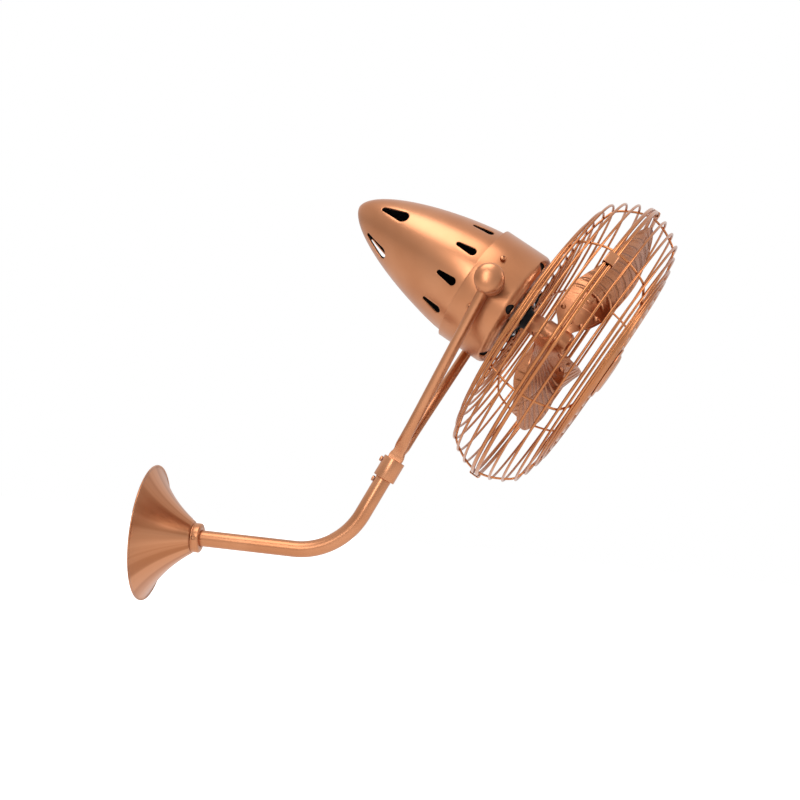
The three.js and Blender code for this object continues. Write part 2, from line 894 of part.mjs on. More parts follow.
function makeBearing(from) {
  return ring(from, from + bearing.width - gap, shaft.radius + gap, bearing.outerRadius, 14);
}

function makeShaft() {
  const { radius, rearEnd, frontEnd, flatLength, flatDepth } = shaft;
  const flat = block(frontEnd - flatLength / 2, 0, radius, flatLength + gap, radius * 2, flatDepth * 2);
  return cut(rod(-rearEnd, frontEnd, radius, 12), flat);
}

// ---------------------------------------------------------------- guard
function guardCurve() {
  const points = guardOutline.map(([x, r]) => new THREE.Vector3(x * guard.depth, 0, r * guard.radius));
  return new THREE.CatmullRomCurve3(points, false, "centripetal");
}

// Where the rings lie, as shares of the outline's length: wider apart round the shoulder.
function ringShares() {
  const { shoulderRings, shoulderSpan, faceRings, faceSpan } = guard;
  return Array.from({ length: shoulderRings + faceRings }, (_, i) => {
    const onShoulder = Math.min(i + 1, shoulderRings);
    return (onShoulder / shoulderRings) * shoulderSpan + ((i + 1 - onShoulder) / faceRings) * faceSpan;
  });
}

// The outline as straight pieces that bend between the rings, so that each ring crosses a straight rib.
function guardChords() {
  const curve = guardCurve();
  const rings = ringShares();
  const between = rings.slice(1).map((share, i) => (share + rings[i]) / 2);
  const { shoulderRings } = guard;
  const bends = [0, ...between.filter((_, i) => i <= shoulderRings || (i - shoulderRings) % 3 === 0), 1];
  return bends.slice(1).map((end, i) => {
    const start = bends[i];
    const [from, to] = [curve.getPointAt(start), curve.getPointAt(end)];
    const along = to.clone().sub(from).normalize();
    return { start, end, from, to, inward: new THREE.Vector3(along.z, 0, -along.x) };
  });
}

// A wire ring of three-sided section, edge towards the ribs, which cross it in the middle of its segments.
function wireRing(share, chords, direction) {
  const { start, end, from, to, inward } = chords.find((chord) => share <= chord.end);
  const place = from.clone().lerp(to, (share - start) / (end - start));
  const segments = place.z > guard.radius * 0.8 ? 18 : 12;
  const stretch = 1 / Math.cos(Math.PI / segments);
  const along = new THREE.Vector3(-inward.z, 0, inward.x);
  const corners = [[1, -0.8], [-1, -0.8], [0, 1.2], [1, -0.8]].map(([side, depth]) => {
    const corner = place.clone().addScaledVector(inward, depth * guard.ringWire);
    corner.addScaledVector(along, side * guard.ringWire);
    return [direction * corner.x, corner.z * stretch];
  });
  return revolve(corners, segments).rotateX(Math.PI / segments);
}

// The rim wire is thicker and rounder, and straight where the clips grip it.
function rimRing() {
  const segments = 24;
  const radius = guard.radius / Math.cos(Math.PI / segments);
  const torus = new THREE.TorusGeometry(radius, guard.rimWire, 5, segments);
  return torus.rotateY(Math.PI / 2).rotateX(Math.PI / segments + clip.turn);
}

function makeGuardHalf(direction) {
  const chords = guardChords();
  const rim = guard.rimWire + guard.rimGap / 2;
  const solids = [toSolid(rimRing().translate(direction * rim, 0, 0))];
  for (const share of ringShares()) {
    solids.push(toSolid(wireRing(share, chords, direction)));
  }
  const rib = makeRib(chords, direction);
  for (let i = 0; i < guard.ribs; i += 1) {
    solids.push(toSolid(rib.clone().rotateX((i / guard.ribs) * 2 * Math.PI)));
  }
  return solids.reduce((whole, solid) => whole.add(solid));
}

// A rib runs inside the rings, from the rim to under the centre plate.
function makeRib(chords, direction) {
  const inset = guard.ringWire + guard.ribWire - weldDepth;
  const half = guard.ribWire;
  const first = { place: chords[0].from, inward: chords[0].inward };
  const bends = chords.map((chord, i) => {
    const next = chords[i + 1] ?? chord;
    return { place: chord.to, inward: chord.inward.clone().add(next.inward).normalize() };
  });
  return loft(
    [first, ...bends].map(({ place, inward }) => {
      const corners = [[0, -1], [1, 1], [-1, 1]].map(([side, depth]) => {
        const corner = place.clone().addScaledVector(inward, inset + depth * half);
        return new THREE.Vector3(direction * corner.x, side * half, corner.z);
      });
      return direction > 0 ? corners.reverse() : corners;
    }),
  );
}

function makeRearGuard() {
  const back = -guard.depth - guard.ringWire;
  const inner = neck.radius - neck.wall - 2;
  const plate = ring(back - guard.plate, back + guard.ringWire * 2, inner, guard.hub + 3, 24);
  const relief = ring(back, back + guard.ringWire * 3, inner - 1, guard.hub + 0.5, 24);
  const holes = neckScrewAngles().map((angle) => {
    const hole = rod(back - guard.plate - 1, back + 1, screwShank + gap, 6);
    return hole.translate(0, 0, neckScrewCircle()).rotateX(angle);
  });
  const wires = makeGuardHalf(-1).subtract(toSolid(rod(back, back + 8, guard.hub + 0.5, 24)));
  const whole = wires.add(toSolid(plate)).subtract(toSolid(relief));
  return toGeometry(holes.reduce((rest, hole) => rest.subtract(toSolid(hole)), whole));
}

function frontPlateFace() {
  return guard.depth + guard.ringWire;
}

function makeFrontGuard() {
  const face = frontPlateFace();
  const plate = rod(face - guard.plate, face, guard.hub + 2, 24);
  const hole = rod(face - 10, face + 10, 2 + gap, 8);
  const wires = makeGuardHalf(1);
  return toGeometry(wires.add(toSolid(plate)).subtract(toSolid(hole)));
}

function makeBadge() {
  const from = frontPlateFace() + gap;
  const { radius, step, edge, rise } = badge;
  const disc = revolve(
    [
      [from, 0],
      [from, radius - 0.6],
      [from + edge * 0.5, radius],
      [from + edge, radius - 0.8],
      [from + edge + 1, step + 1],
      [from + edge + 2, step],
      [from + edge + rise * 0.55, step * 0.78],
      [from + edge + rise * 0.9, step * 0.4],
      [from + edge + rise, 0],
    ],
    16,
  );
  return cut(disc, rod(from - 1, from + 6, 2 + gap, 8));
}

function makeBadgeScrew() {
  const face = frontPlateFace();
  const under = face - guard.plate - gap;
  return revolve(
    [[under - 2.2, 0], [under - 2.2, 4], [under, 4], [under, 2], [face + 4, 2], [face + 4, 0]],
    8,
  );
}

// A sheet-metal clip folded round both rims.
function makeClip() {
  const across = 4 * guard.rimWire + guard.rimGap + 2 * gap;
  const high = 2 * guard.rimWire + 2 * gap;
  const { length, sheet: thickness } = clip;
  const outer = block(0, 0, guard.radius, across + 2 * thickness, length, high + 2 * thickness);
  const tunnel = block(0, 0, guard.radius, across, length + 2, high);
  return cut(outer, tunnel);
}

// ---------------------------------------------------------------- rotor
function bladeFrame(radius) {
  const { tip, root, rootPitch, tipPitch, twist } = blade;
  const outward = Math.min((radius - root) / (tip - root), 1);
  const pitch = tipPitch + (rootPitch - tipPitch) * (1 - outward) ** twist;
  return new THREE.Vector3(Math.sin(pitch), -Math.cos(pitch), 0);
}

// A point of the blade's middle surface; the blade stands along +Z and bows towards its front face.
function bladePoint(radius, along) {
  const chord = bladeFrame(radius);
  const [rear, front] = bladeEdges(radius / blade.tip);
  const share = (2 * along - rear - front) / (front - rear);
  const bow = blade.camber * (front - rear) * (1 - Math.min(share * share, 1));
  const face = new THREE.Vector3(-chord.y, chord.x, 0);
  const lift = blade.lift * THREE.MathUtils.smoothstep(radius, blade.tip / 3, (blade.tip * 2) / 3);
  return new THREE.Vector3(guard.station + lift, 0, radius)
    .addScaledVector(chord, along)
    .addScaledVector(face, bow);
}

function bladeEdges(share) {
  const next = bladeOutline.findIndex(([r], i) => i > 0 && (share <= r || i === bladeOutline.length - 1));
  const [low, high] = [bladeOutline[next - 1], bladeOutline[next]];
  const t = THREE.MathUtils.clamp((share - low[0]) / (high[0] - low[0]), 0, 1);
  return [THREE.MathUtils.lerp(low[1], high[1], t), THREE.MathUtils.lerp(low[2], high[2], t)];
}

function bladeNormal(radius, along) {
  const step = 0.5;
  const chordwise = bladePoint(radius, along + step).sub(bladePoint(radius, along - step));
  const spanwise = bladePoint(radius + step, along).sub(bladePoint(radius - step, along));
  return spanwise.cross(chordwise).normalize();
}

function makeBlade() {
  const radiusAt = (u) => blade.tip * bladeOutline[Math.round(u * (bladeOutline.length - 1))][0];
  const alongAt = (u, v) => {
    const [rear, front] = bladeEdges(radiusAt(u) / blade.tip);
    return THREE.MathUtils.lerp(rear, front, v);
  };
  const half = blade.sheet / 2;
  return sheet(
    (u, v) => bladePoint(radiusAt(u), alongAt(u, v)),
    (u, v) => bladeNormal(Math.min(radiusAt(u), blade.tip - 1), alongAt(u, v) * 0.98),
    bladeOutline.length - 1,
    6,
    -half,
    half,
  );
}

function makeIron() {
  const radiusAt = (u) => THREE.MathUtils.lerp(iron.root, iron.outer, u);
  const alongAt = (u, v) => {
    const [rear, front] = bladeEdges(radiusAt(u) / blade.tip);
    const spread = THREE.MathUtils.lerp(iron.stem, iron.spread, Math.min(u * 2, 1));
    return THREE.MathUtils.lerp(rear, front, 0.5 + (v - 0.5) * spread);
  };
  const from = -blade.sheet / 2 - iron.stand - iron.sheet;
  const plate = sheet(
    (u, v) => bladePoint(Math.max(radiusAt(u), 1), alongAt(u, v)),
    (u, v) => bladeNormal(radiusAt(u), alongAt(u, v) * 0.9),
    3,
    6,
    from,
    from + iron.sheet,
  );
  return cut(plate, rod(hub.rear, hub.front + 20, hub.radius + gap, 24));
}

function makeHub() {
  const { radius, rear, front, round } = hub;
  const body = revolve(
    [
      [rear + gap, 0],
      [rear + gap, radius],
      [front - round, radius],
      [front - round * 0.5, radius * 0.9],
      [front - round * 0.12, radius * 0.62],
      [front, 0],
    ],
    14,
  );
  const bore = rod(rear - 1, shaft.frontEnd + gap, shaft.radius + gap, 12);
  return cut(body, bore, hubScrewTool(2.5 + gap));
}

function hubScrewTool(radius) {
  return alongZ(rod(shaft.radius - 1 + gap * 2, hub.radius + 2, radius, 8)).translate(hub.rear + 8, 0, 0);
}

function makeHubScrew() {
  const limit = rod(hub.rear, hub.front, hub.radius - 0.6, 24);
  return common(hubScrewTool(2.5), limit);
}

function makeShaftCollar() {
  const { radius, rear } = shaftCollar;
  return revolve(
    [
      [rear, shaft.radius + gap],
      [rear, radius - 1],
      [rear + 1, radius],
      [hub.rear - 1, radius],
      [hub.rear, radius - 1],
      [hub.rear, shaft.radius + gap],
      [rear, shaft.radius + gap],
    ],
    16,
  );
}

// ---------------------------------------------------------------- assembly
const fan = new THREE.Group();

fan.add(
  piece("wall_plate", makeWallPlate(), zinc),
  piece("arm_flange", makeFlange(), zinc),
  ...pieces("flange_screw", flangeAngles(), makeFlangeScrew, steel),
  piece("canopy", makeCanopy(), copper),
  piece("canopy_collar", makeCollar(), copper),
  piece("collar_set_screw", makeSetScrew(), darkCopper),
);

const riser = new THREE.Group();
const riserPath = new ArmCurve();
const sleeveSeat = riserPath.getPoint(1 - tube.insertion / riserPath.lengths.reduce((a, b) => a + b));
riser.position.copy(sleeveSeat);
riser.rotation.y = Math.PI / 2 - tube.bendAngle;
riser.updateMatrix();
fan.add(riser);

const boredTube = cut(makeArmTube(), stopScrewHole().applyMatrix4(riser.matrix));
fan.add(piece("arm_tube", boredTube, copper));

riser.add(
  piece("swivel_stud", makeStud(), zinc),
  piece("swivel_nut", makeStudNut(), zinc),
  piece("stop_screw", makeStopScrew(), copper),
  piece("swivel_sleeve", makeSleeve(), copper),
  piece("sleeve_lock_screw", makeLockScrew(), copper),
  piece("fork_arm_left", makeForkArm(1), copper),
  piece("fork_arm_right", makeForkArm(-1), copper),
);

const pivotHeight = sleeve.length + pivot.height;
for (const [side, turn] of [["left", 0], ["right", Math.PI]]) {
  const ears = group(
    piece(`pivot_cup_${side}`, makeCup(), copper),
    piece(`pivot_cap_${side}`, makeCap(), copper),
  );
  ears.position.z = pivotHeight;
  ears.rotation.z = turn;
  riser.add(ears);
}

const headGroup = new THREE.Group();
headGroup.position.set(0, 0, pivotHeight).applyMatrix4(riser.matrix);
headGroup.rotation.y = head.tilt;
fan.add(headGroup);

for (const [side, turn] of [["left", 0], ["right", Math.PI]]) {
  const pins = group(
    piece(`pivot_bolt_${side}`, makeBolt(), steel),
    piece(`pivot_washer_${side}`, makeWasher(), nylon),
  );
  pins.rotation.z = turn;
  headGroup.add(pins);
}

headGroup.add(
  piece("rear_housing", makeRearHousing(), copper),
  piece("front_housing", makeFrontHousing(), copper),
  ...pieces("housing_screw", postAngles().map((angle) => Math.PI / 2 - angle), makePost, copper),
  piece("motor_rear_bell", makeRearBell(), motorBlack),
  piece("motor_front_bell", makeFrontBell(), motorBlack),
  piece("stator_core", makeStator(), steel),
  piece("stator_coil_rear", makeCoil(-motor.stackRear, -1), enamelWire),
  piece("stator_coil_front", makeCoil(motor.stackFront, 1), enamelWire),
  piece("bearing_rear", makeBearing(-motor.rear + motor.shellWall + gap), steel),
  piece("bearing_front", makeBearing(neckStart() - motor.shellWall - bearing.width), steel),
  ...pieces("guard_mount_screw", neckScrewAngles(), makeGuardScrew, steel),
);

const guardGroup = group(
  piece("rear_guard", makeRearGuard(), copper),
  piece("front_guard", makeFrontGuard(), copper),
  piece("guard_cap", makeBadge(), copper),
  piece("guard_cap_screw", makeBadgeScrew(), steel),
);
guardGroup.position.x = guard.station;
clip.ribs.forEach((rib, i) => {
  const held = piece(`guard_clip_${i + 1}`, makeClip(), copper);
  held.rotation.x = (rib / guard.ribs) * 2 * Math.PI + clip.turn;
  guardGroup.add(held);
});
headGroup.add(guardGroup);

const rotor = group(
  piece("rotor_core", makeRotorCore(), steel),
  piece("shaft", makeShaft(), steel),
  piece("shaft_collar", makeShaftCollar(), copper),
  piece("blade_hub", makeHub(), copper),
  piece("hub_set_screw", makeHubScrew(), steel),
);
for (let i = 0; i < 3; i += 1) {
  const arm = group(
    piece(`blade_iron_${i + 1}`, makeIron(), copper),
    piece(`blade_${i + 1}`, makeBlade(), copper),
  );
  arm.rotation.x = (i / 3) * 2 * Math.PI;
  rotor.add(arm);
}
rotor.rotation.x = rotorPhase;
headGroup.add(rotor);

export default fan;
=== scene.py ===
"""Finished look of a wall mounted fan in satin copper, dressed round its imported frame.

Sizes are in millimetres and angles in degrees unless a name says otherwise. Three local frames
are used: the wall frame (+X out of the wall, +Z up), the riser frame (+Z up the swivel) and the
head frame (+X from the tilt axis towards the air stream).
"""

from __future__ import annotations

import json
import logging
import math
from dataclasses import dataclass
from enum import Enum
from typing import Callable, Sequence

import bmesh
import bpy
from mathutils import Matrix, Vector


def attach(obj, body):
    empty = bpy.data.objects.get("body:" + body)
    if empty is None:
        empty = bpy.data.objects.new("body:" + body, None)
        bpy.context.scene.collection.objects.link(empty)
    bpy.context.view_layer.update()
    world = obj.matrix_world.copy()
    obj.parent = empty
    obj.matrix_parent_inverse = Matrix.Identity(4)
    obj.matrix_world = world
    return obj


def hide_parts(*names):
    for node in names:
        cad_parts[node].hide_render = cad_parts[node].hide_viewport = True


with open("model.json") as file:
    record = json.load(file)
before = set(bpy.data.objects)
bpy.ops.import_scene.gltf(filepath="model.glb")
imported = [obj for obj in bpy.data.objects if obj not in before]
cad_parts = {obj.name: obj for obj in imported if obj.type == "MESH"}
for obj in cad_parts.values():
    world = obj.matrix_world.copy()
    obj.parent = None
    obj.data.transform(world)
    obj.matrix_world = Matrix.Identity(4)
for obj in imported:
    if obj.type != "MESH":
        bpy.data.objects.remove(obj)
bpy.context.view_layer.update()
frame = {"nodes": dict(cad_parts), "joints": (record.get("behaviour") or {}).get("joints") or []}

LOG = logging.getLogger("fan")
MM = 0.001
GAP = 0.3
FULL_TURN = 2 * math.pi

QUARTER = math.pi / 2

Profile = Sequence[tuple[float, float]]
Track = Callable[[float], tuple[float, float]]
Outline = Callable[[int], list[tuple[float, float]]]


def clamp(value: float) -> float:
    """Holds a value between 0 and 1."""
    return min(max(value, 0), 1)


def eased(value: float) -> float:
    """Turns a value into a smooth step that leaves 0 and reaches 1 without a corner."""
    share = clamp(value)
    return share * share * (3 - 2 * share)


def hump(value: float, middle: float, width: float) -> float:
    """Returns a bell curve of height 1.

    Args:
        value: Where the curve is read.
        middle: Where it is highest.
        width: How far from there it falls to 1/e.
    """
    return math.exp(-(((value - middle) / width) ** 2))


# ---------------------------------------------------------------- places
class Body(Enum):
    """The bodies that the pieces ride on."""

    WALL_ARM = "wall_arm"
    CANOPY = "canopy"
    FORK = "fork"
    HEAD = "head"
    ROTOR = "rotor"


def joint(name: str) -> dict:
    """Finds a joint of the frame.

    Args:
        name: The joint's name in the record.

    Returns:
        The joint's row.
    """
    return next(row for row in frame["joints"] if row["name"] == name)


def turn_to(x_axis: Vector, z_axis: Vector) -> Matrix:
    """Returns the turn that takes the X and Z axes to two directions."""
    return Matrix((x_axis, z_axis.cross(x_axis), z_axis)).transposed().to_4x4()


def quarter(axis: str, turns: int = 1) -> Matrix:
    """Returns a turn by right angles round one axis."""
    return Matrix.Rotation(turns * QUARTER, 4, axis)


def shifted(x: float = 0, z: float = 0) -> Matrix:
    """Returns a move along X and Z."""
    return Matrix.Translation((x, 0, z))


def axes_at(origin: Sequence[float], x_axis: Vector, z_axis: Vector) -> Matrix:
    """Makes the matrix that takes millimetres of a local frame to metres of the row frame.

    Args:
        origin: The local origin, in metres of the row frame.
        x_axis: The local X direction.
        z_axis: The local Z direction.

    Returns:
        The local-to-row matrix.
    """
    return Matrix.Translation(origin) @ turn_to(x_axis, z_axis) @ Matrix.Scale(MM, 4)


def wall_frame() -> Matrix:
    """Returns the frame whose origin is the middle of the wall plate's back."""
    return Matrix.Scale(MM, 4)


def riser_frame() -> Matrix:
    """Returns the frame of the riser, with its origin at the lower end of the sleeve."""
    swivel = joint("head_swivel")
    up = Vector(swivel["axis"]).normalized()
    return axes_at(swivel["pos_m"], Vector((0, 1, 0)).cross(up), up)


def head_frame() -> Matrix:
    """Returns the frame of the head, with its origin on the tilt axis."""
    spin = joint("fan_spin")
    out = Vector(spin["axis"]).normalized()
    return axes_at(spin["pos_m"], out, out.cross(Vector((0, 1, 0))))


def around(angle: float) -> Matrix:
    """Returns the turn that takes a piece standing along +Z to an angle round the head.

    Args:
        angle: Degrees from the head's near side, growing towards its top.
    """
    return Matrix.Rotation(math.radians(90 - angle), 4, "X")


def placed(name: str, data: bpy.types.ID) -> bpy.types.Object:
    """Puts an object with its data into the scene.

    Args:
        name: The object's name.
        data: Its mesh, camera or light.
    """
    thing = bpy.data.objects.new(name, data)
    bpy.context.scene.collection.objects.link(thing)
    return thing


# ---------------------------------------------------------------- shader trees
class Signal:
    """A socket of a shader tree, with arithmetic that adds Math nodes."""

    def __init__(self, tree: "ShaderTree", socket: bpy.types.NodeSocket) -> None:
        """Wraps an output socket.

        Args:
            tree: The tree that holds the socket.
            socket: The output socket.
        """
        self.tree = tree
        self.socket = socket

    def _math(self, operation: str, *values: "Signal | float") -> "Signal":
        """Adds a Math node over the given values."""
        return self.tree.node("ShaderNodeMath", {"operation": operation}, *values)

    def __add__(self, other: "Signal | float") -> "Signal":
        """Returns the sum."""
        return self._math("ADD", self, other)

    def __sub__(self, other: "Signal | float") -> "Signal":
        """Returns the difference."""
        return self._math("SUBTRACT", self, other)

    def __rsub__(self, other: "Signal | float") -> "Signal":
        """Returns the reflected difference."""
        return self._math("SUBTRACT", other, self)

    def __mul__(self, other: "Signal | float") -> "Signal":
        """Returns the product."""
        return self._math("MULTIPLY", self, other)

    __radd__ = __add__
    __rmul__ = __mul__

    def clamped(self) -> "Signal":
        """Returns the value held between 0 and 1."""
        return self.tree.node("ShaderNodeClamp", {}, self)

    def above(self, low: float, high: float) -> "Signal":
        """Returns 0 at low, 1 at high and a smooth step between.

        Args:
            low: The value that becomes 0.
            high: The value that becomes 1.
        """
        settings = {"interpolation_type": "SMOOTHSTEP"}
        return self.tree.node("ShaderNodeMapRange", settings, self, low, high)


class ShaderTree:
    """The node tree of one material or of the world."""

    def __init__(self, owner: bpy.types.Material | bpy.types.World) -> None:
        """Empties the owner's tree.

        Args:
            owner: The material or world whose tree is built.
        """
        owner.use_nodes = True
        self.tree = owner.node_tree
        self.tree.nodes.clear()

    def node(self, kind: str, settings: dict, *inputs: object, **named: object) -> Signal:
        """Adds one node.

        Args:
            kind: The node's type.
            settings: Properties that are set before the sockets are.
            *inputs: Values or links for the first sockets, in order.
            **named: Values or links for sockets by name, with _ for a space.

        Returns:
            The node's first output that is in use.
        """
        made = self.tree.nodes.new(kind)
        for key, value in settings.items():
            setattr(made, key, value)
        sockets = [socket for socket in made.inputs if socket.enabled]
        pairs = list(zip(sockets, inputs))
        pairs += [(self._socket(sockets, key), value) for key, value in named.items()]
        for socket, value in pairs:
            if isinstance(value, Signal):
                self.tree.links.new(value.socket, socket)
            elif value is not None:
                socket.default_value = value
        outputs = [socket for socket in made.outputs if socket.enabled]
        return Signal(self, outputs[0]) if outputs else Signal(self, None)

    @staticmethod
    def _socket(sockets: list, key: str) -> bpy.types.NodeSocket:
        """Finds an input socket by its name."""
        return next(socket for socket in sockets if socket.name == key.replace("_", " "))

    def output(self, kind: str, name: str, settings: dict | None = None) -> Signal:
        """Adds a node without inputs and picks one of its outputs.

        Args:
            kind: The node's type.
            name: The output's name.
            settings: Properties of the node.
        """
        first = self.node(kind, settings or {})
        return Signal(self, first.socket.node.outputs[name])

    def noise(self, scale: float, detail: float) -> Signal:
        """Adds a noise over the piece's own coordinates.

        Args:
            scale: Noise cells in a metre.
            detail: Number of finer layers.

        Returns:
            The noise, between 0 and 1.
        """
        place = self.output("ShaderNodeTexCoord", "Object")
        return self.node("ShaderNodeTexNoise", {}, Vector=place, Scale=scale, Detail=detail)

    def rays(self, scale: float, detail: float) -> Signal:
        """Adds a noise that only changes round the X axis, as on a sheet spun to shape.

        Args:
            scale: Noise cells in the radius of a circle round the axis.
            detail: Number of finer layers.

        Returns:
            The noise, between 0 and 1.
        """
        place = self.output("ShaderNodeTexCoord", "Object")
        flat = self.node("ShaderNodeVectorMath", {"operation": "MULTIPLY"}, place, (0, 1, 1))
        way = self.node("ShaderNodeVectorMath", {"operation": "NORMALIZE"}, flat)
        return self.node("ShaderNodeTexNoise", {}, Vector=way, Scale=scale, Detail=detail)

    def blend(self, share: Signal | float, low: object, high: object) -> Signal:
        """Mixes two colours.

        Args:
            share: 0 for the first colour, 1 for the second.
            low: The first colour or link.
            high: The second colour or link.
        """
        settings = {"data_type": "RGBA"}
        return self.node("ShaderNodeMix", settings, share, low, high)


def linear(red: int, green: int, blue: int) -> tuple[float, float, float, float]:
    """Turns an sRGB colour into the linear one that a socket takes.

    Args:
        red: Red, 0 to 255.
        green: Green, 0 to 255.
        blue: Blue, 0 to 255.
    """
    def channel(value: int) -> float:
        share = value / 255
        return share / 12.92 if share <= 0.04045 else ((share + 0.055) / 1.055) ** 2.4

    return channel(red), channel(green), channel(blue), 1.0


# ---------------------------------------------------------------- finishes
@dataclass(frozen=True)
class Finish:
    """A surface finish with a slow tint drift, a fine grain, a bump that follows the grain and, where a
    mask is named, painted shade.
    """

    name: str
    base: tuple[float, float, float, float]
    drift: tuple[float, float, float, float]
    metallic: float
    roughness: float
    roughness_swing: float = 0.02
    drift_scale: float = 11.0
    grain_scale: float = 150.0
    grain_depth: float = 0.02
    spun: bool = False
    specular: float = 0.5
    # painted shade: a vertex mask darkens the base colour towards a dark brown where it stands in for
    # shadow
    painted_shade: str = ""
    painted_shade_color: tuple[float, float, float, float] = linear(84, 44, 22)
    painted_shade_share: float = 0.75
    bump_strength: float = 0.3
    drift_range: tuple[float, float] = (0.35, 0.68)
    drift_detail: float = 3.0
    grain_detail: float = 2.0
    smudge_detail: float = 1.0

    def material(self) -> bpy.types.Material:
        """Returns the finish's material, made on its first use."""
        known = bpy.data.materials.get(self.name)
        if known:
            return known
        made = bpy.data.materials.new(self.name)
        tree = ShaderTree(made)
        cloudy = tree.rays if self.spun else tree.noise
        cloud = cloudy(self.drift_scale, self.drift_detail)
        grain = tree.noise(self.grain_scale, self.grain_detail)
        smudge = tree.noise(self.drift_scale * 2, self.smudge_detail)
        color = tree.blend(cloud.above(*self.drift_range), self.base, self.drift)
        swing = (smudge - 0.5) * (2 * self.roughness_swing)
        # painted shade: the mask from the mesh darkens the colour, standing in for shadow
        if self.painted_shade:
            painted_shadow = tree.output("ShaderNodeAttribute", "Fac", {"attribute_name": self.painted_shade})
            color = tree.blend(painted_shadow * self.painted_shade_share, color, self.painted_shade_color)
        depth = self.grain_depth * MM
        bump = tree.node("ShaderNodeBump", {}, Strength=self.bump_strength, Distance=depth, Height=grain)
        surface = tree.node(
            "ShaderNodeBsdfPrincipled",
            {},
            Base_Color=color,
            Metallic=self.metallic,
            Roughness=(swing + self.roughness).clamped(),
            Specular_IOR_Level=self.specular,
            Normal=bump,
        )
        tree.node("ShaderNodeOutputMaterial", {}, Surface=surface)
        return made


COPPER = Finish("satin_copper", linear(193, 134, 98), linear(180, 120, 84), 1.0, 0.31)
GUARD_COPPER = Finish("drawn_copper_wire", linear(191, 125, 80), linear(169, 105, 65), 1.0, 0.22)
SPUN_COPPER = Finish(
    "spun_copper", linear(194, 135, 99), linear(162, 104, 70), 1.0, 0.31, drift_scale=2.6, spun=True
)
# the blade's colour carries a painted shadow beside each vein
BLADE_COPPER = Finish(
    "stamped_copper_blade", linear(190, 130, 94), linear(172, 113, 78), 1.0, 0.24, painted_shade="vein_shadow"
)
ZINC = Finish("zinc_plate", linear(196, 199, 203), linear(176, 180, 186), 1.0, 0.42, grain_scale=500)
STEEL = Finish("machined_steel", linear(188, 190, 194), linear(172, 175, 180), 1.0, 0.3)
MOTOR_BLACK = Finish(
    "motor_enamel", linear(13, 16, 20), linear(9, 11, 14), 0.0, 0.5, grain_depth=0.02, specular=0.2
)
NYLON = Finish("black_nylon", linear(34, 34, 37), linear(26, 26, 29), 0.0, 0.6, grain_depth=0.05)
WIRE = Finish("varnished_wire", linear(140, 74, 36), linear(112, 54, 24), 0.6, 0.4, grain_scale=600)


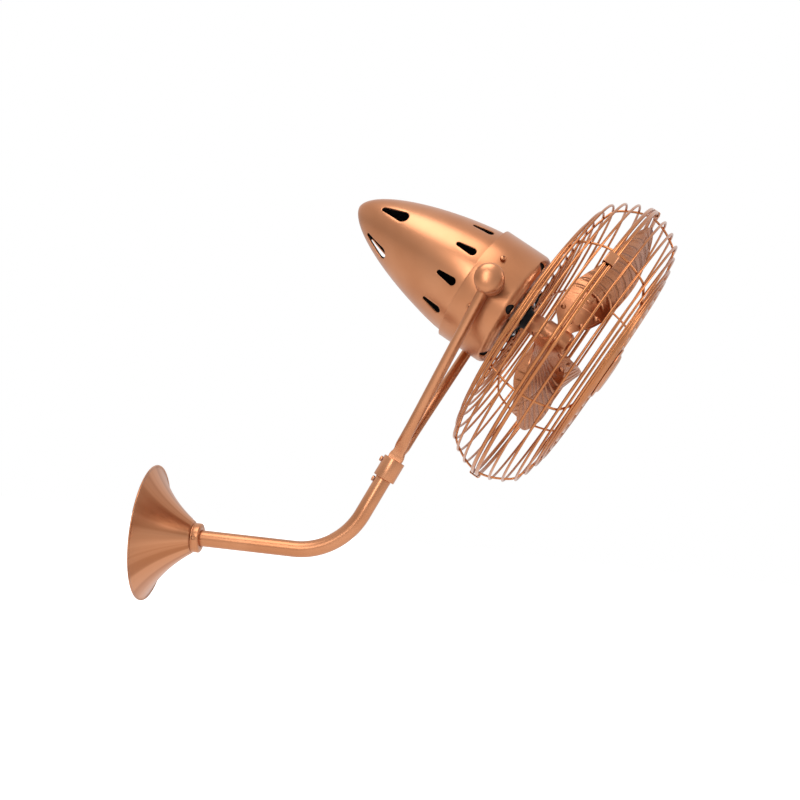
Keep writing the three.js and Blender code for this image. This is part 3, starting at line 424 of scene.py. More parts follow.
# ---------------------------------------------------------------- forms
class Form:
    """A mesh under construction, in millimetres of one local frame."""

    def __init__(self) -> None:
        """Starts with an empty mesh."""
        self.mesh = bmesh.new()

    def welded(self, distance: float = 1e-4) -> "Form":
        """Merges vertices that are closer than a distance and points the faces outwards."""
        bmesh.ops.remove_doubles(self.mesh, verts=self.mesh.verts, dist=distance)
        bmesh.ops.recalc_face_normals(self.mesh, faces=self.mesh.faces)
        return self

    def chain(self, points: Sequence[Vector | tuple], closed: bool) -> list:
        """Adds a row of vertices joined by edges."""
        verts = [self.mesh.verts.new(point) for point in points]
        follow = verts[1:] + verts[:1] if closed else verts[1:]
        return [*verts, *(self.mesh.edges.new(pair) for pair in zip(verts, follow))]

    def turned(self, profile: Profile, steps: int = 96, closed: bool = True) -> "Form":
        """Spins a profile once round the X axis.

        Args:
            profile: Stations and radii.
            steps: Faces round the axis.
            closed: Whether the last point joins the first.
        """
        return self._spun(self.chain([(x, 0, radius) for x, radius in profile], closed), steps)

    def _spun(self, geom: list, steps: int) -> "Form":
        """Spins vertices and edges once round the X axis."""
        settings = {"cent": (0, 0, 0), "axis": (1, 0, 0), "angle": FULL_TURN}
        bmesh.ops.spin(self.mesh, geom=geom, steps=steps, use_merge=True, **settings)
        return self.welded()

    def swept(self, frames: Sequence[Matrix], section: Callable[[int], list[Vector]]) -> "Form":
        """Runs a section along a row of frames and closes both ends.

        Args:
            frames: One matrix for each station, with the path along its Z axis.
            section: Gives the section's points at a station.
        """
        start = self.chain([frames[0] @ point for point in section(0)], True)
        ring = [item for item in start if isinstance(item, bmesh.types.BMEdge)]
        ends = [ring]
        for index in range(1, len(frames)):
            grown = bmesh.ops.extrude_edge_only(self.mesh, edges=ring)["geom"]
            corners = [item for item in grown if isinstance(item, bmesh.types.BMVert)]
            sides = [item for item in grown if isinstance(item, bmesh.types.BMEdge)]
            ring = [side for side in sides if all(corner in corners for corner in side.verts)]
            for corner, point in zip(corners, section(index)):
                corner.co = frames[index] @ point
        ends.append(ring)
        for end in ends:
            bmesh.ops.edgeloop_fill(self.mesh, edges=end)
        bmesh.ops.recalc_face_normals(self.mesh, faces=self.mesh.faces)
        return self

    def wired(self, path: Sequence[Vector], radius: float, sides: int = 10) -> "Form":
        """Runs a round wire along a path in the XZ plane.

        Args:
            path: The points of the centre line.
            radius: The wire's radius.
            sides: Faces round the wire.
        """
        turns = [FULL_TURN * side / sides for side in range(sides)]
        circle = [Vector((radius * math.cos(turn), radius * math.sin(turn), 0)) for turn in turns]
        return self.swept(path_frames(path, Vector((0, 1, 0))), lambda _: circle)

    def hooped(
        self, station: float, radius: float, wire: float, steps: int, sides: int = 10
    ) -> "Form":
        """Adds a ring of round wire round the X axis.

        Args:
            station: The ring's place along X.
            radius: The ring's radius, to the middle of the wire.
            wire: The wire's radius.
            steps: Faces round the ring.
            sides: Faces round the wire.
        """
        place = shifted(station, radius) @ quarter("X")
        circle = bmesh.ops.create_circle(self.mesh, radius=wire, segments=sides, matrix=place)["verts"]
        edges = list({edge for vert in circle for edge in vert.link_edges})
        return self._spun([*circle, *edges], steps)

    def domed(self, place: Matrix, radius: float, height: float) -> "Form":
        """Adds a closed round head that stands on a flat foot.

        Args:
            place: The foot's place, with the head along its X axis.
            radius: The foot's radius.
            height: The head's height.
        """
        turns = [QUARTER * step / 6 for step in range(6)]
        profile = [(height * math.sin(turn), radius * math.cos(turn)) for turn in turns]
        head = Form().turned([(0, 0), *profile, (height, 0)], 20, False)
        return self.joined(head.moved(place))

    def joined(self, *others: "Form") -> "Form":
        """Takes in the meshes of other forms.

        Args:
            *others: Forms that are used up by this.
        """
        for other in others:
            carrier = bpy.data.meshes.new("carrier")
            other.mesh.to_mesh(carrier)
            other.mesh.free()
            self.mesh.from_mesh(carrier)
            bpy.data.meshes.remove(carrier)
        return self

    def moved(self, matrix: Matrix) -> "Form":
        """Moves the whole form.

        Args:
            matrix: The move, in the form's own frame.
        """
        bmesh.ops.transform(self.mesh, matrix=matrix, verts=self.mesh.verts)
        if matrix.determinant() < 0:
            bmesh.ops.reverse_faces(self.mesh, faces=self.mesh.faces)
        return self

    def copies(self, matrices: Sequence[Matrix]) -> "Form":
        """Returns a new form that holds a copy of this one at each place.

        Args:
            matrices: The places.
        """
        whole = Form()
        for matrix in matrices:
            copy = Form()
            copy.mesh = self.mesh.copy()
            whole.joined(copy.moved(matrix))
        self.mesh.free()
        return whole

    def softened(self, width: float, angle: float = 35, segments: int = 2) -> "Form":
        """Rounds the edges that are sharper than an angle.

        Args:
            width: The round's width.
            angle: The least angle between two faces.
            segments: Faces across the round.
        """
        limit = math.radians(angle)
        whole = [edge for edge in self.mesh.edges if edge.is_manifold]
        sharp = [edge for edge in whole if edge.calc_face_angle(0) > limit]
        shape = {"affect": "EDGES", "segments": segments, "profile": 0.5, "material": -1}
        bmesh.ops.bevel(
            self.mesh, geom=sharp, offset=width, offset_type="OFFSET", clamp_overlap=True, **shape
        )
        return self

    def thickened(self, thickness: float) -> "Form":
        """Gives an open sheet its wall, on the side that its faces turn away from.

        Args:
            thickness: The wall's thickness.
        """
        bmesh.ops.solidify(self.mesh, geom=list(self.mesh.faces), thickness=thickness)
        return self

    def cut_by(self, *tools: "Form") -> "Form":
        """Cuts other forms out of this one.

        Args:
            *tools: Closed forms that are used up by the cut.
        """
        base = self._carrier()
        cutter = Form().joined(*tools)._carrier()
        modifier = base.modifiers.new("cut", "BOOLEAN")
        modifier.operation = "DIFFERENCE"
        modifier.solver = "EXACT"
        modifier.object = cutter
        bpy.context.view_layer.update()
        graph = bpy.context.evaluated_depsgraph_get()
        shaped = bpy.data.meshes.new_from_object(base.evaluated_get(graph))
        self.mesh = bmesh.new()
        self.mesh.from_mesh(shaped)
        for thing in (base, cutter):
            bpy.data.meshes.remove(thing.data)
        bpy.data.meshes.remove(shaped)
        return self

    def _carrier(self) -> bpy.types.Object:
        """Returns a plain object that holds the mesh, which is used up."""
        mesh = bpy.data.meshes.new("carrier")
        self.mesh.to_mesh(mesh)
        self.mesh.free()
        return placed("carrier", mesh)

    def finished(
        self,
        name: str,
        place: Matrix,
        body: Body,
        finish: Finish = COPPER,
        replaces: Sequence[str] = (),
        smooth: float = 40,
    ) -> bpy.types.Object:
        """Turns the form into a piece of the fan.

        Args:
            name: The piece's name.
            place: The local frame that the form was drawn in.
            body: The body that carries it.
            finish: Its surface finish.
            replaces: The frame's nodes that it stands for.
            smooth: The angle below which neighbouring faces shade as one.

        Returns:
            The finished object.
        """
        self.moved(place)
        mesh = bpy.data.meshes.new(name)
        self.mesh.to_mesh(mesh)
        self.mesh.free()
        mesh.materials.append(finish.material())
        mesh.shade_smooth()
        mesh.set_sharp_from_angle(angle=math.radians(smooth))
        piece = placed(name, mesh)
        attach(piece, body.value)
        if replaces:
            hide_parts(*replaces)
        LOG.info("%s: %d faces on %s", name, len(mesh.polygons), body.value)
        return piece

    def stands_for(
        self, node: str, place: Matrix, body: Body, finish: Finish = COPPER, smooth: float = 40
    ) -> bpy.types.Object:
        """Turns the form into the piece that takes the place of one node of the frame.

        Args:
            node: The node's name, which also names the piece.
            place: The local frame that the form was drawn in.
            body: The body that carries it.
            finish: Its surface finish.
            smooth: The angle below which neighbouring faces shade as one.
        """
        return self.finished(f"{node}_finished", place, body, finish, [node], smooth)


def directions(path: Sequence[Vector]) -> list[Vector]:
    """Returns the direction of a path at each of its points."""
    pairs = zip([path[0], *path], [*path[1:], path[-1]])
    return [(after - before).normalized() for before, after in pairs]


def path_frames(path: Sequence[Vector], across: Vector) -> list[Matrix]:
    """Makes a frame at each point of a path that lies in one plane.

    Args:
        path: The points.
        across: The direction square to the path's plane, which becomes each frame's X axis.

    Returns:
        Frames with the path's direction along Z.
    """
    ways = directions(path)
    return [Matrix.Translation(point) @ turn_to(across, way) for point, way in zip(path, ways)]


def arc(centre: tuple[float, float], radius: float, start: float, end: float, steps: int = 8) -> list:
    """Draws an arc of a profile.

    Args:
        centre: The arc's centre.
        radius: Its radius.
        start: The first point's angle from the X axis.
        end: The last point's angle.
        steps: Straight pieces in the arc.
    """
    turns = [math.radians(start + (end - start) * step / steps) for step in range(steps + 1)]
    x, y = centre
    return [(x + radius * math.cos(turn), y + radius * math.sin(turn)) for turn in turns]


def bowed(points: Sequence[Sequence[float]], count: int) -> list[Vector]:
    """Runs a smooth curve through points, evenly spaced along its length.

    Args:
        points: The points, in order.
        count: Number of points wanted.

    Returns:
        Points on the curve.
    """
    knots = [Vector(point) for point in points]
    knots = [2 * knots[0] - knots[1], *knots, 2 * knots[-1] - knots[-2]]
    dense = [knots[1]]
    substeps = 40
    for before, start, end, after in zip(knots, knots[1:], knots[2:], knots[3:]):
        pairs = ((before, start), (start, end), (end, after))
        spans = [max((b - a).length ** 0.5, 1e-6) for a, b in pairs]
        leave = slope(before, start, end, spans[0], spans[1]) * spans[1]
        arrive = slope(start, end, after, spans[1], spans[2]) * spans[1]
        for step in range(1, substeps + 1):
            t = step / substeps
            dense.append(
                (2 * t**3 - 3 * t**2 + 1) * start
                + (t**3 - 2 * t**2 + t) * leave
                + (3 * t**2 - 2 * t**3) * end
                + (t**3 - t**2) * arrive
            )
    return even(dense, count)


def slope(before: Vector, middle: Vector, after: Vector, first: float, second: float) -> Vector:
    """Returns the curve's slope at the middle one of three knots.

    Args:
        before: The knot before it.
        middle: The knot itself.
        after: The knot after it.
        first: Knot spacing before it.
        second: Knot spacing after it.
    """
    whole = (after - before) / (first + second)
    return (middle - before) / first - whole + (after - middle) / second


def even(line: Sequence[Vector], count: int) -> list[Vector]:
    """Places points at even distances along a line.

    Args:
        line: A dense line.
        count: Number of points wanted.

    Returns:
        The evenly spaced points.
    """
    reach = [0.0]
    for start, end in zip(line, line[1:]):
        reach.append(reach[-1] + (end - start).length)
    placed, index = [], 0
    for step in range(count):
        wanted = reach[-1] * step / (count - 1)
        while index < len(line) - 2 and reach[index + 1] < wanted:
            index += 1
        share = (wanted - reach[index]) / max(reach[index + 1] - reach[index], 1e-9)
        placed.append(line[index].lerp(line[index + 1], share))
    return placed


def dress(nodes: Sequence[str], finish: Finish) -> None:
    """Gives nodes of the frame their finish.

    Args:
        nodes: The nodes' names.
        finish: The finish.
    """
    for name in nodes:
        mesh = frame["nodes"][name].data
        mesh.materials.clear()
        mesh.materials.append(finish.material())
        LOG.info("%s keeps its shape, in %s", name, finish.name)


# ---------------------------------------------------------------- wall arm
@dataclass
class WallArm:
    """The wall plate, its flange and the bent tube with its stop screw."""

    radius: float = 8.8
    start: float = 7.0
    straight: float = 160.9
    bend_radius: float = 76.8
    bend: float = 65.4
    riser: float = 43.8
    insertion: float = 9.0
    stop_drop: float = 5.0

    def centre_line(self) -> list[Vector]:
        """Returns the tube's path: straight out, one bend upwards and a short riser."""
        flat = [self.start + (self.straight - self.start) * step / 6 for step in range(6)]
        path = [Vector((x, 0, 0)) for x in flat]
        centre = Vector((self.straight, 0, self.bend_radius))
        steps = 40
        for step in range(steps + 1):
            turn = math.radians(self.bend * step / steps)
            path.append(centre + self.bend_radius * Vector((math.sin(turn), 0, -math.cos(turn))))
        up = Vector((math.cos(turn), 0, math.sin(turn)))
        return [*path, path[-1] + (self.riser + self.insertion) * up]

    def build(self) -> None:
        """Builds the tube and the stop screw and dresses the wall fixing."""
        tube = Form().wired(self.centre_line(), self.radius, 48)
        tube.softened(0.5, 60).stands_for("arm_tube", wall_frame(), Body.WALL_ARM)
        screw = round_screw(self.radius + GAP).moved(shifted(z=-self.stop_drop))
        screw.stands_for("stop_screw", riser_frame(), Body.WALL_ARM)
        dress(["wall_plate", "arm_flange", "swivel_stud", "swivel_nut"], ZINC)
        dress([f"flange_screw_{number}" for number in (1, 2, 3)], STEEL)


def round_screw(seat: float, radius: float = 3.1, height: float = 2.6, drive: float = 1.3) -> Form:
    """Makes a round screw head that stands off towards -X, with a socket in its face.

    Args:
        seat: Distance of its underside from the axis.
        radius: The head's radius.
        height: The head's height.
        drive: The socket's radius.
    """
    foot, floor = 0.3, height * 0.4
    profile = [
        (-seat, 0),
        (-seat, radius - foot),
        (-seat - foot, radius),
        *arc((-seat - height * 0.55, radius - 1), 1, 90, 180, 5)[1:],
        (-seat - height, drive),
        (-seat - floor, drive),
        (-seat - floor, 0),
    ]
    return Form().turned(profile, 32, False)


# ---------------------------------------------------------------- canopy
@dataclass
class Canopy:
    """The trumpet bell on the wall and the collar that holds it on the tube."""

    rim_radius: float = 73.5
    neck_radius: float = 17.5
    depth: float = 50.0
    rim_station: float = 1.0
    flare: float = 15.5
    waist: float = 41.5
    wall: float = 1.2
    bead_radius: float = 1.1
    collar_radius: float = 15.9
    collar_length: float = 9.0
    collar_chamfer: float = 1.6
    collar_groove: float = 0.45
    bore: float = 9.1
    screw_seat: float = 15.0
    screw_radius: float = 2.0

    def bell(self) -> Form:
        """Makes the bell from its curved profile, with a rolled rim."""
        start, middle, end = (
            Vector((self.rim_station, self.rim_radius)),
            Vector((self.flare, self.waist)),
            Vector((self.depth, self.neck_radius)),
        )
        steps = 32
        shares = [step / steps for step in range(steps + 1)]
        outside = [(1 - t) ** 2 * start + 2 * t * (1 - t) * middle + t * t * end for t in shares]
        walls = [
            here + self.wall * Vector((along.y, -along.x))
            for here, along in zip(outside, directions(outside))
        ]
        bead_centre = (self.rim_station + 0.9, self.rim_radius - self.bead_radius)
        profile = [
            *map(tuple, outside[1:]),
            (self.depth, self.bore),
            (self.depth - self.wall, self.bore),
            *map(tuple, reversed(walls[2:-1])),
            *reversed(arc(bead_centre, self.bead_radius, 60, 250, 8)),
        ]
        return Form().turned(profile, 144)

    def collar(self) -> Form:
        """Makes the stepped collar."""
        start, end = self.depth + GAP, self.depth + GAP + self.collar_length
        radius, chamfer = self.collar_radius, self.collar_chamfer
        profile = [
            (start, self.bore),
            (start, radius),
            (start + 1.1, radius),
            (start + 1.5, radius - self.collar_groove),
            (start + 1.9, radius),
            (end - chamfer, radius),
            (end - 0.6, radius - chamfer * 0.45),
            (end, radius - chamfer - 0.3),
            (end, self.bore),
        ]
        return Form().turned(profile, 96).softened(0.18, 30)

    def build(self) -> None:
        """Builds the bell, the collar and its set screw."""
        place = wall_frame()
        self.bell().stands_for("canopy", place, Body.CANOPY, SPUN_COPPER, smooth=60)
        middle = self.depth + GAP + (self.collar_length - self.collar_chamfer) / 2
        aim = shifted(middle) @ quarter("Z")
        seat, radius, end = -self.screw_seat, self.screw_radius, -9.2
        hole = radius + 0.2
        tool = Form().turned([(-20, 0), (-20, hole), (-10, hole), (-10, 0)], 32, False).moved(aim)
        self.collar().cut_by(tool).stands_for("canopy_collar", place, Body.CANOPY)
        rim = [(seat - 0.2, 1.1), (seat - 0.2, radius - 0.1), (seat, radius)]
        screw = Form().turned([(seat, 0), *rim, (end, radius), (end, 0)], 32, False)
        screw.moved(aim).stands_for("collar_set_screw", place, Body.CANOPY)


# ---------------------------------------------------------------- fork
@dataclass
class Fork:
    """The swivel sleeve, the two arms that part above it, and the pivot cups."""

    sleeve_radius: float = 12.1
    sleeve_length: float = 23.6
    lower_bore: float = 9.1
    upper_bore: float = 7.6
    web_top: float = 11.8
    lock_drop: float = 6.0
    arm_radius: float = 5.8
    bundle_radius: float = 7.3
    seat_depth: float = 7.6
    straight: float = 9.0
    splay: float = 11.3
    splay_height: float = 30.0
    pivot_height: float = 205.4
    cup_inner: float = 79.0
    cup_outer: float = 95.2
    cup_radius: float = 15.4
    cup_wall: float = 2.0
    cap_edge: float = 3.6
    cap_rise: float = 6.2
    cap_groove: float = 0.8
    bolt_bore: float = 3.3
    foot_swell: tuple[float, float, float] = (0.08, 3.0, 4.0)  # share, height and width
    foot_pinch: tuple[float, float, float] = (0.15, 12.0, 3.5)
    foot_flat: float = 0.95
    foot_share: float = 0.05
    rounding_share: float = 0.19

    def sleeve(self) -> Form:
        """Makes the sleeve, with its inner web."""
        radius, length = self.sleeve_radius, self.sleeve_length
        web, hole = self.web_top - 2.5, 5.1
        profile = [
            (0, self.lower_bore),
            (0, radius),
            (length, radius),
            (length, self.upper_bore),
            (self.web_top, self.upper_bore),
            (self.web_top, hole),
            (web, hole),
            (web, self.lower_bore),
        ]
        return Form().turned(profile, 72).softened(0.6, 60, 3).moved(quarter("Y", -1))

    def arm_path(self, side: int) -> list[Vector]:
        """Returns the centre line of one arm, from the sleeve to the cup.

        Args:
            side: 1 for the left arm, -1 for the right one.
        """
        top = (self.cup_inner + self.cup_outer) / 2 + 2
        rise = self.pivot_height + self.sleeve_length
        lean = (top - self.splay) / (self.pivot_height - 8)
        splayed = self.sleeve_length + self.splay_height
        half = self.bundle_radius / 2
        splay_y = self.splay + lean * (self.splay_height - 8)
        above = (splay_y + lean * 30, splayed + 30)
        points = [
            (half, self.sleeve_length - self.seat_depth),
            (half, self.sleeve_length),
            (half + 1.2, self.sleeve_length + self.straight),
            (splay_y, splayed),
            above,
            ((above[0] + top) / 2, (above[1] + rise) / 2),
            (top, rise),
        ]
        return bowed([(0, side * y, z) for y, z in points], 90)

    def arm(self, side: int) -> Form:
        """Makes one arm: half round at its foot and round above.

        Args:
            side: 1 for the left arm, -1 for the right one.
        """
        path = self.arm_path(side)
        sides = 32
        foot = self.bundle_radius

        def section(index: int) -> list[Vector]:
            above = path[index].z - self.sleeve_length
            wide, narrow = (
                share * hump(above, *where) for share, *where in (self.foot_swell, self.foot_pinch)
            )
            swell = wide - narrow
            share = index / (len(path) - 1)
            roundness = eased((share - self.foot_share) / self.rounding_share)
            points = []
            for step in range(sides):
                turn = FULL_TURN * (step + 0.5) / sides
                way = Vector((math.cos(turn), math.sin(turn), 0))
                half = Vector((foot * way.x, foot * way.y - foot / 2, 0))
                if way.y < 0:
                    half = Vector((foot * self.foot_flat * way.x, GAP / 2 - foot / 2, 0))
                mixed = half.lerp(way * self.arm_radius, roundness)
                points.append(Vector((mixed.x * (1 + swell), -mixed.y * side, 0)))
            return points

        return Form().swept(path_frames(path, Vector((1, 0, 0))), section)

    def cup(self) -> Form:
        """Makes the left pivot cup."""
        radius, wall = self.cup_radius, self.cup_wall
        profile = [
            (self.cup_inner, self.bolt_bore),
            (self.cup_inner, radius - 1.2),
            *arc((self.cup_inner + 1.6, radius - 1.6), 1.6, 170, 90, 5),
            (self.cup_outer, radius),
            (self.cup_outer, radius - wall),
            (self.cup_inner + wall, radius - wall),
            (self.cup_inner + wall, self.bolt_bore),
        ]
        return Form().turned(profile, 72).softened(0.25, 50)

    def cap(self) -> Form:
        """Makes the left domed cap, with the fine groove at its joint."""
        seat, radius = self.cup_outer + GAP, self.cup_radius
        edge, inner = seat + self.cap_edge, radius - self.cup_wall - GAP
        turns = [math.radians(90 * step / 16) for step in range(16)]
        dome = [(edge + self.cap_rise * math.sin(turn), radius * math.cos(turn)) for turn in turns]
        profile = [
            (seat - 5, 0),
            (seat - 5, inner),
            (seat, inner),
            (seat, radius - self.cap_groove),
            (seat + 0.9, radius - self.cap_groove * 0.2),
            *dome,
            (edge + self.cap_rise, 0),
        ]
        return Form().turned(profile, 72, False).softened(0.2, 50)

    def build(self) -> None:
        """Builds the fork with its cups and caps."""
        place = riser_frame()
        self.sleeve().stands_for("swivel_sleeve", place, Body.FORK)
        screw = round_screw(self.sleeve_radius + GAP)
        screw.moved(shifted(z=self.sleeve_length - self.lock_drop))
        screw.stands_for("sleeve_lock_screw", place, Body.FORK)
        pivot = shifted(z=self.sleeve_length + self.pivot_height)
        for name, side in (("left", 1), ("right", -1)):
            aim = pivot @ quarter("Z", side)
            self.arm(side).stands_for(f"fork_arm_{name}", place, Body.FORK)
            self.cup().moved(aim).stands_for(f"pivot_cup_{name}", place, Body.FORK)
            self.cap().moved(aim).stands_for(f"pivot_cap_{name}", place, Body.FORK)


# ---------------------------------------------------------------- pierced shells
@dataclass
class Zone:
    """A belt of a turned sheet with one hole in each of its equal cells.

    The sheet is drawn by a profile that gives station and radius at a distance t, and a hole
    outline gives points of (t, tangential offset).
    """

    profile: Track
    start: float
    end: float
    count: int
    first: float
    around: int
    along: int

    def cell(self, hole: Outline) -> Form:
        """Makes one cell with its hole, standing on the angle 0.

        Args:
            hole: Gives the hole's outline as a number of points, counter-clockwise from its tail.
        """
        form = Form()
        half, length = math.pi / self.count, self.end - self.start
        across, along = self.around // self.count, self.along
        spread = 100  # keeps the flat cell from being too narrow to subdivide well
        sheet = [(self.start, half * (2 * step / across - 1)) for step in range(across)]
        sheet += [(self.start + length * step / along, half) for step in range(along)]
        sheet += [(self.end, half * (1 - 2 * step / across)) for step in range(across)]
        sheet += [(self.end - length * step / along, -half) for step in range(along)]
        total = len(sheet)
        outline = [(t, math.asin(offset / self.profile(t)[1])) for t, offset in hole(total)]
        shift = across // 2
        outer, inner = (
            form.chain([(t, turn * spread, 0) for t, turn in ring], True)[:total]
            for ring in (sheet[shift:] + sheet[:shift], outline)
        )
        for index in range(total):
            after = (index + 1) % total
            form.mesh.faces.new((outer[index], outer[after], inner[after], inner[index]))
        edges = form.mesh.edges
        spokes = [edge for edge in edges if len({vert in outer for vert in edge.verts}) == 2]
        bmesh.ops.subdivide_edges(form.mesh, edges=spokes, cuts=4)
        for vert in form.mesh.verts:
            station, radius = self.profile(vert.co.x)
            turn = vert.co.y / spread
            vert.co = Vector((station, -radius * math.sin(turn), radius * math.cos(turn)))
        return form

    def sheet(self, hole: Outline) -> Form:
        """Makes the whole belt.

        Args:
            hole: The outline of each hole.
        """
        turns = [self.first + 360 * number / self.count for number in range(self.count)]
        return self.cell(hole).copies([around(turn) for turn in turns])


def belt(profile: Track, start: float, end: float, rows: int, steps: int) -> Form:
    """Makes a plain belt of a turned sheet.

    Args:
        profile: Gives station and radius at a distance.
        start: The first distance.
        end: The last distance.
        rows: Faces along the belt.
        steps: Faces round the belt.
    """
    points = [profile(start + (end - start) * row / rows) for row in range(rows + 1)]
    return Form().turned(points, steps, False)


@dataclass
class Housing:
    """The pierced cone, the front band with its shoulder holes, and the bracket screws."""

    steps: int = 240
    length: float = 152.4
    base_radius: float = 62.4
    wall: float = 1.6
    bulge: float = 1.3
    bluntness: float = 0.57
    spigot: float = 4.0
    row_start: float = 55.5
    row_length: float = 24.0
    row_narrow: float = 2.6
    row_wide: float = 4.7
    row_count: int = 10
    tip_start: float = 148.5
    tip_length: float = 32.5
    tip_narrow: float = 2.9
    tip_wide: float = 6.9
    tip_count: int = 5
    first_slot: float = 18.0
    band_rear: float = 24.1
    band_front: float = 34.0
    band_radius: float = 66.5
    shoulder: float = 9.0
    opening: float = 34.0
    hole_count: int = 6
    hole_radius: float = 5.6
    hole_lean: float = 38.0
    first_hole: float = -9.0
    boss: float = 10.0
    boss_end: float = 76.4
    boss_bore: float = 3.3
    # painted shade: black sheets inside the shells darken the slots and the band's opening
    shade_sheet_gap: float = 0.7
    shade_sheet_wall: float = 0.3
    seam: float = 0.02
    row_margin: float = 4.0
    tip_margin: float = 5.0
    post_angle: float = 26.4
    post_station: float = 5.0
    post_radius: float = 3.2
    post_height: float = 4.0
    post_drive: float = 0.9
    neck_clearance: float = 29.2

    @property
    def inset(self) -> float:
        """How far the black sheets of painted shade lie inside the outer faces."""
        return self.wall + self.shade_sheet_gap

    @property
    def nose_start(self) -> float:
        """Distance behind the pivot at which the blunt end begins."""
        return self.tip_start + self.tip_margin

    @property
    def quarter_length(self) -> float:
        """Length of the band's shoulder along its profile."""
        return self.shoulder * QUARTER

    @property
    def straight(self) -> float:
        """Length of the band's straight part."""
        return self.band_front - self.shoulder + self.band_rear

    def cone(self, distance: float) -> tuple[float, float]:
        """Returns station and radius of the cone, by the distance of the station behind the pivot."""
        share = clamp((distance - self.band_rear) / self.length)
        return -distance, self.base_radius * (1 - share**self.bulge) ** self.bluntness

    def slot(self, start: float, length: float, narrow: float, wide: float) -> Outline:
        """Returns the outline of a teardrop slot.

        Args:
            start: Distance of its narrow end behind the pivot.
            length: Its length.
            narrow: Radius of its narrow end.
            wide: Radius of its wide end.
        """
        near, far = start - length + wide, start - narrow

        def outline(count: int) -> list[tuple[float, float]]:
            line = [Vector((near - wide, 0))]
            for middle, radius, first in ((near, wide, 180), (far, narrow, 90)):
                for turn in range(first, first - 91, -6):
                    angle = math.radians(turn)
                    offset = Vector((math.cos(angle), math.sin(angle))) * radius
                    line.append(Vector((middle, 0)) + offset)
            line += [Vector((point.x, -point.y)) for point in reversed(line[:-1])]
            return [tuple(point) for point in even(line, count + 1)[:-1]]

        return outline

    def pierced(self, inset: float) -> Form:
        """Makes the sheet of the cone with its slots.

        Args:
            inset: How far inside the cone's outer face the sheet lies.
        """
        def cone(distance: float) -> tuple[float, float]:
            station, radius = self.cone(distance)
            return station, radius - inset

        row_end = self.row_start + self.row_margin
        row_begin = self.row_start - self.row_length - self.row_margin
        tip_begin = self.tip_start - self.tip_length - self.tip_margin
        row = Zone(cone, row_begin, row_end, self.row_count, self.first_slot, self.steps, 12)
        tip = Zone(cone, tip_begin, self.nose_start, self.tip_count, self.first_slot, self.steps, 14)
        small = self.slot(self.row_start, self.row_length, self.row_narrow, self.row_wide)
        large = self.slot(self.tip_start, self.tip_length, self.tip_narrow, self.tip_wide)
        return row.sheet(small).joined(
            tip.sheet(large),
            belt(cone, self.band_rear + GAP, row_begin, 2, self.steps),
            belt(cone, row_end, tip_begin, 16, self.steps),
        )

    def sealed(self, sheet: Form, thickness: float) -> Form:
        """Welds the seams of a sheet and gives it a wall.

        Args:
            sheet: The sheet.
            thickness: The wall's thickness.
        """
        return sheet.welded(self.seam).thickened(thickness)

    def rear_shell(self) -> Form:
        """Makes the pierced cone as one sheet and thickens it."""
        whole = self.pierced(0.0).joined(self.nose(0.0), self.lip())
        return self.sealed(whole, self.wall).softened(0.3, 50)

    def cone_shade_sheet(self) -> Form:
        """Makes the pierced black sheet inside the cone, painted shade that the slots show."""
        whole = self.pierced(self.inset).joined(self.nose(self.inset))
        return self.sealed(whole, self.shade_sheet_wall)

    def band_shade_sheet(self) -> Form:
        """Makes the black sheet inside the band, painted shade that closes its opening round the motor
        neck.
        """
        corner = (self.band_front - self.shoulder, self.band_radius - self.shoulder)
        front = arc(corner, self.shoulder - self.inset, 0, 90, 12)
        rear = (-self.band_rear + self.spigot + 1, self.band_radius - self.inset)
        sheet = [(self.band_front - self.inset, self.neck_clearance), *front, rear]
        return Form().turned(sheet, 96, False).thickened(self.shade_sheet_wall)

    def nose(self, inset: float) -> Form:
        """Makes the blunt end of the cone.

        Args:
            inset: How far inside the cone's outer face it lies.
        """
        start, end = self.nose_start, self.band_rear + self.length
        distances = [end - (end - start) * (1 - step / 20) ** 2 for step in range(21)]
        rings = [self.cone(distance) for distance in distances]
        rings = [(station, radius - inset) for station, radius in rings if radius > inset]
        return Form().turned([*rings, (rings[-1][0], 0)], self.steps, False)

    def lip(self) -> Form:
        """Makes the spigot that sits inside the band."""
        inner = self.band_radius - 2.2 - GAP
        edge = self.cone(self.band_rear + GAP)
        profile = [edge, (edge[0], inner), (-self.band_rear + self.spigot, inner)]
        return Form().turned(profile, self.steps, False)

    def band(self, distance: float) -> tuple[float, float]:
        """Returns station and radius of the band, by the distance along its profile."""
        if distance <= self.straight:
            return -self.band_rear + distance, self.band_radius
        bent = distance - self.straight
        station, radius = self.band_front - self.shoulder, self.band_radius - self.shoulder
        if bent <= self.quarter_length:
            turn = QUARTER - bent / self.shoulder
            return station + self.shoulder * math.cos(turn), radius + self.shoulder * math.sin(turn)
        return self.band_front, radius - (bent - self.quarter_length)

    def front_shell(self) -> Form:
        """Makes the band with its shoulder holes and its pivot bosses."""
        bend_end = self.straight + self.quarter_length
        middle = self.straight + self.shoulder * math.radians(90 - self.hole_lean)
        reach = self.shoulder * math.asin(self.hole_radius / self.shoulder)

        def outline(count: int) -> list[tuple[float, float]]:
            turns = [math.pi - FULL_TURN * step / count for step in range(count)]
            return [(middle + reach * math.cos(t), self.hole_radius * math.sin(t)) for t in turns]

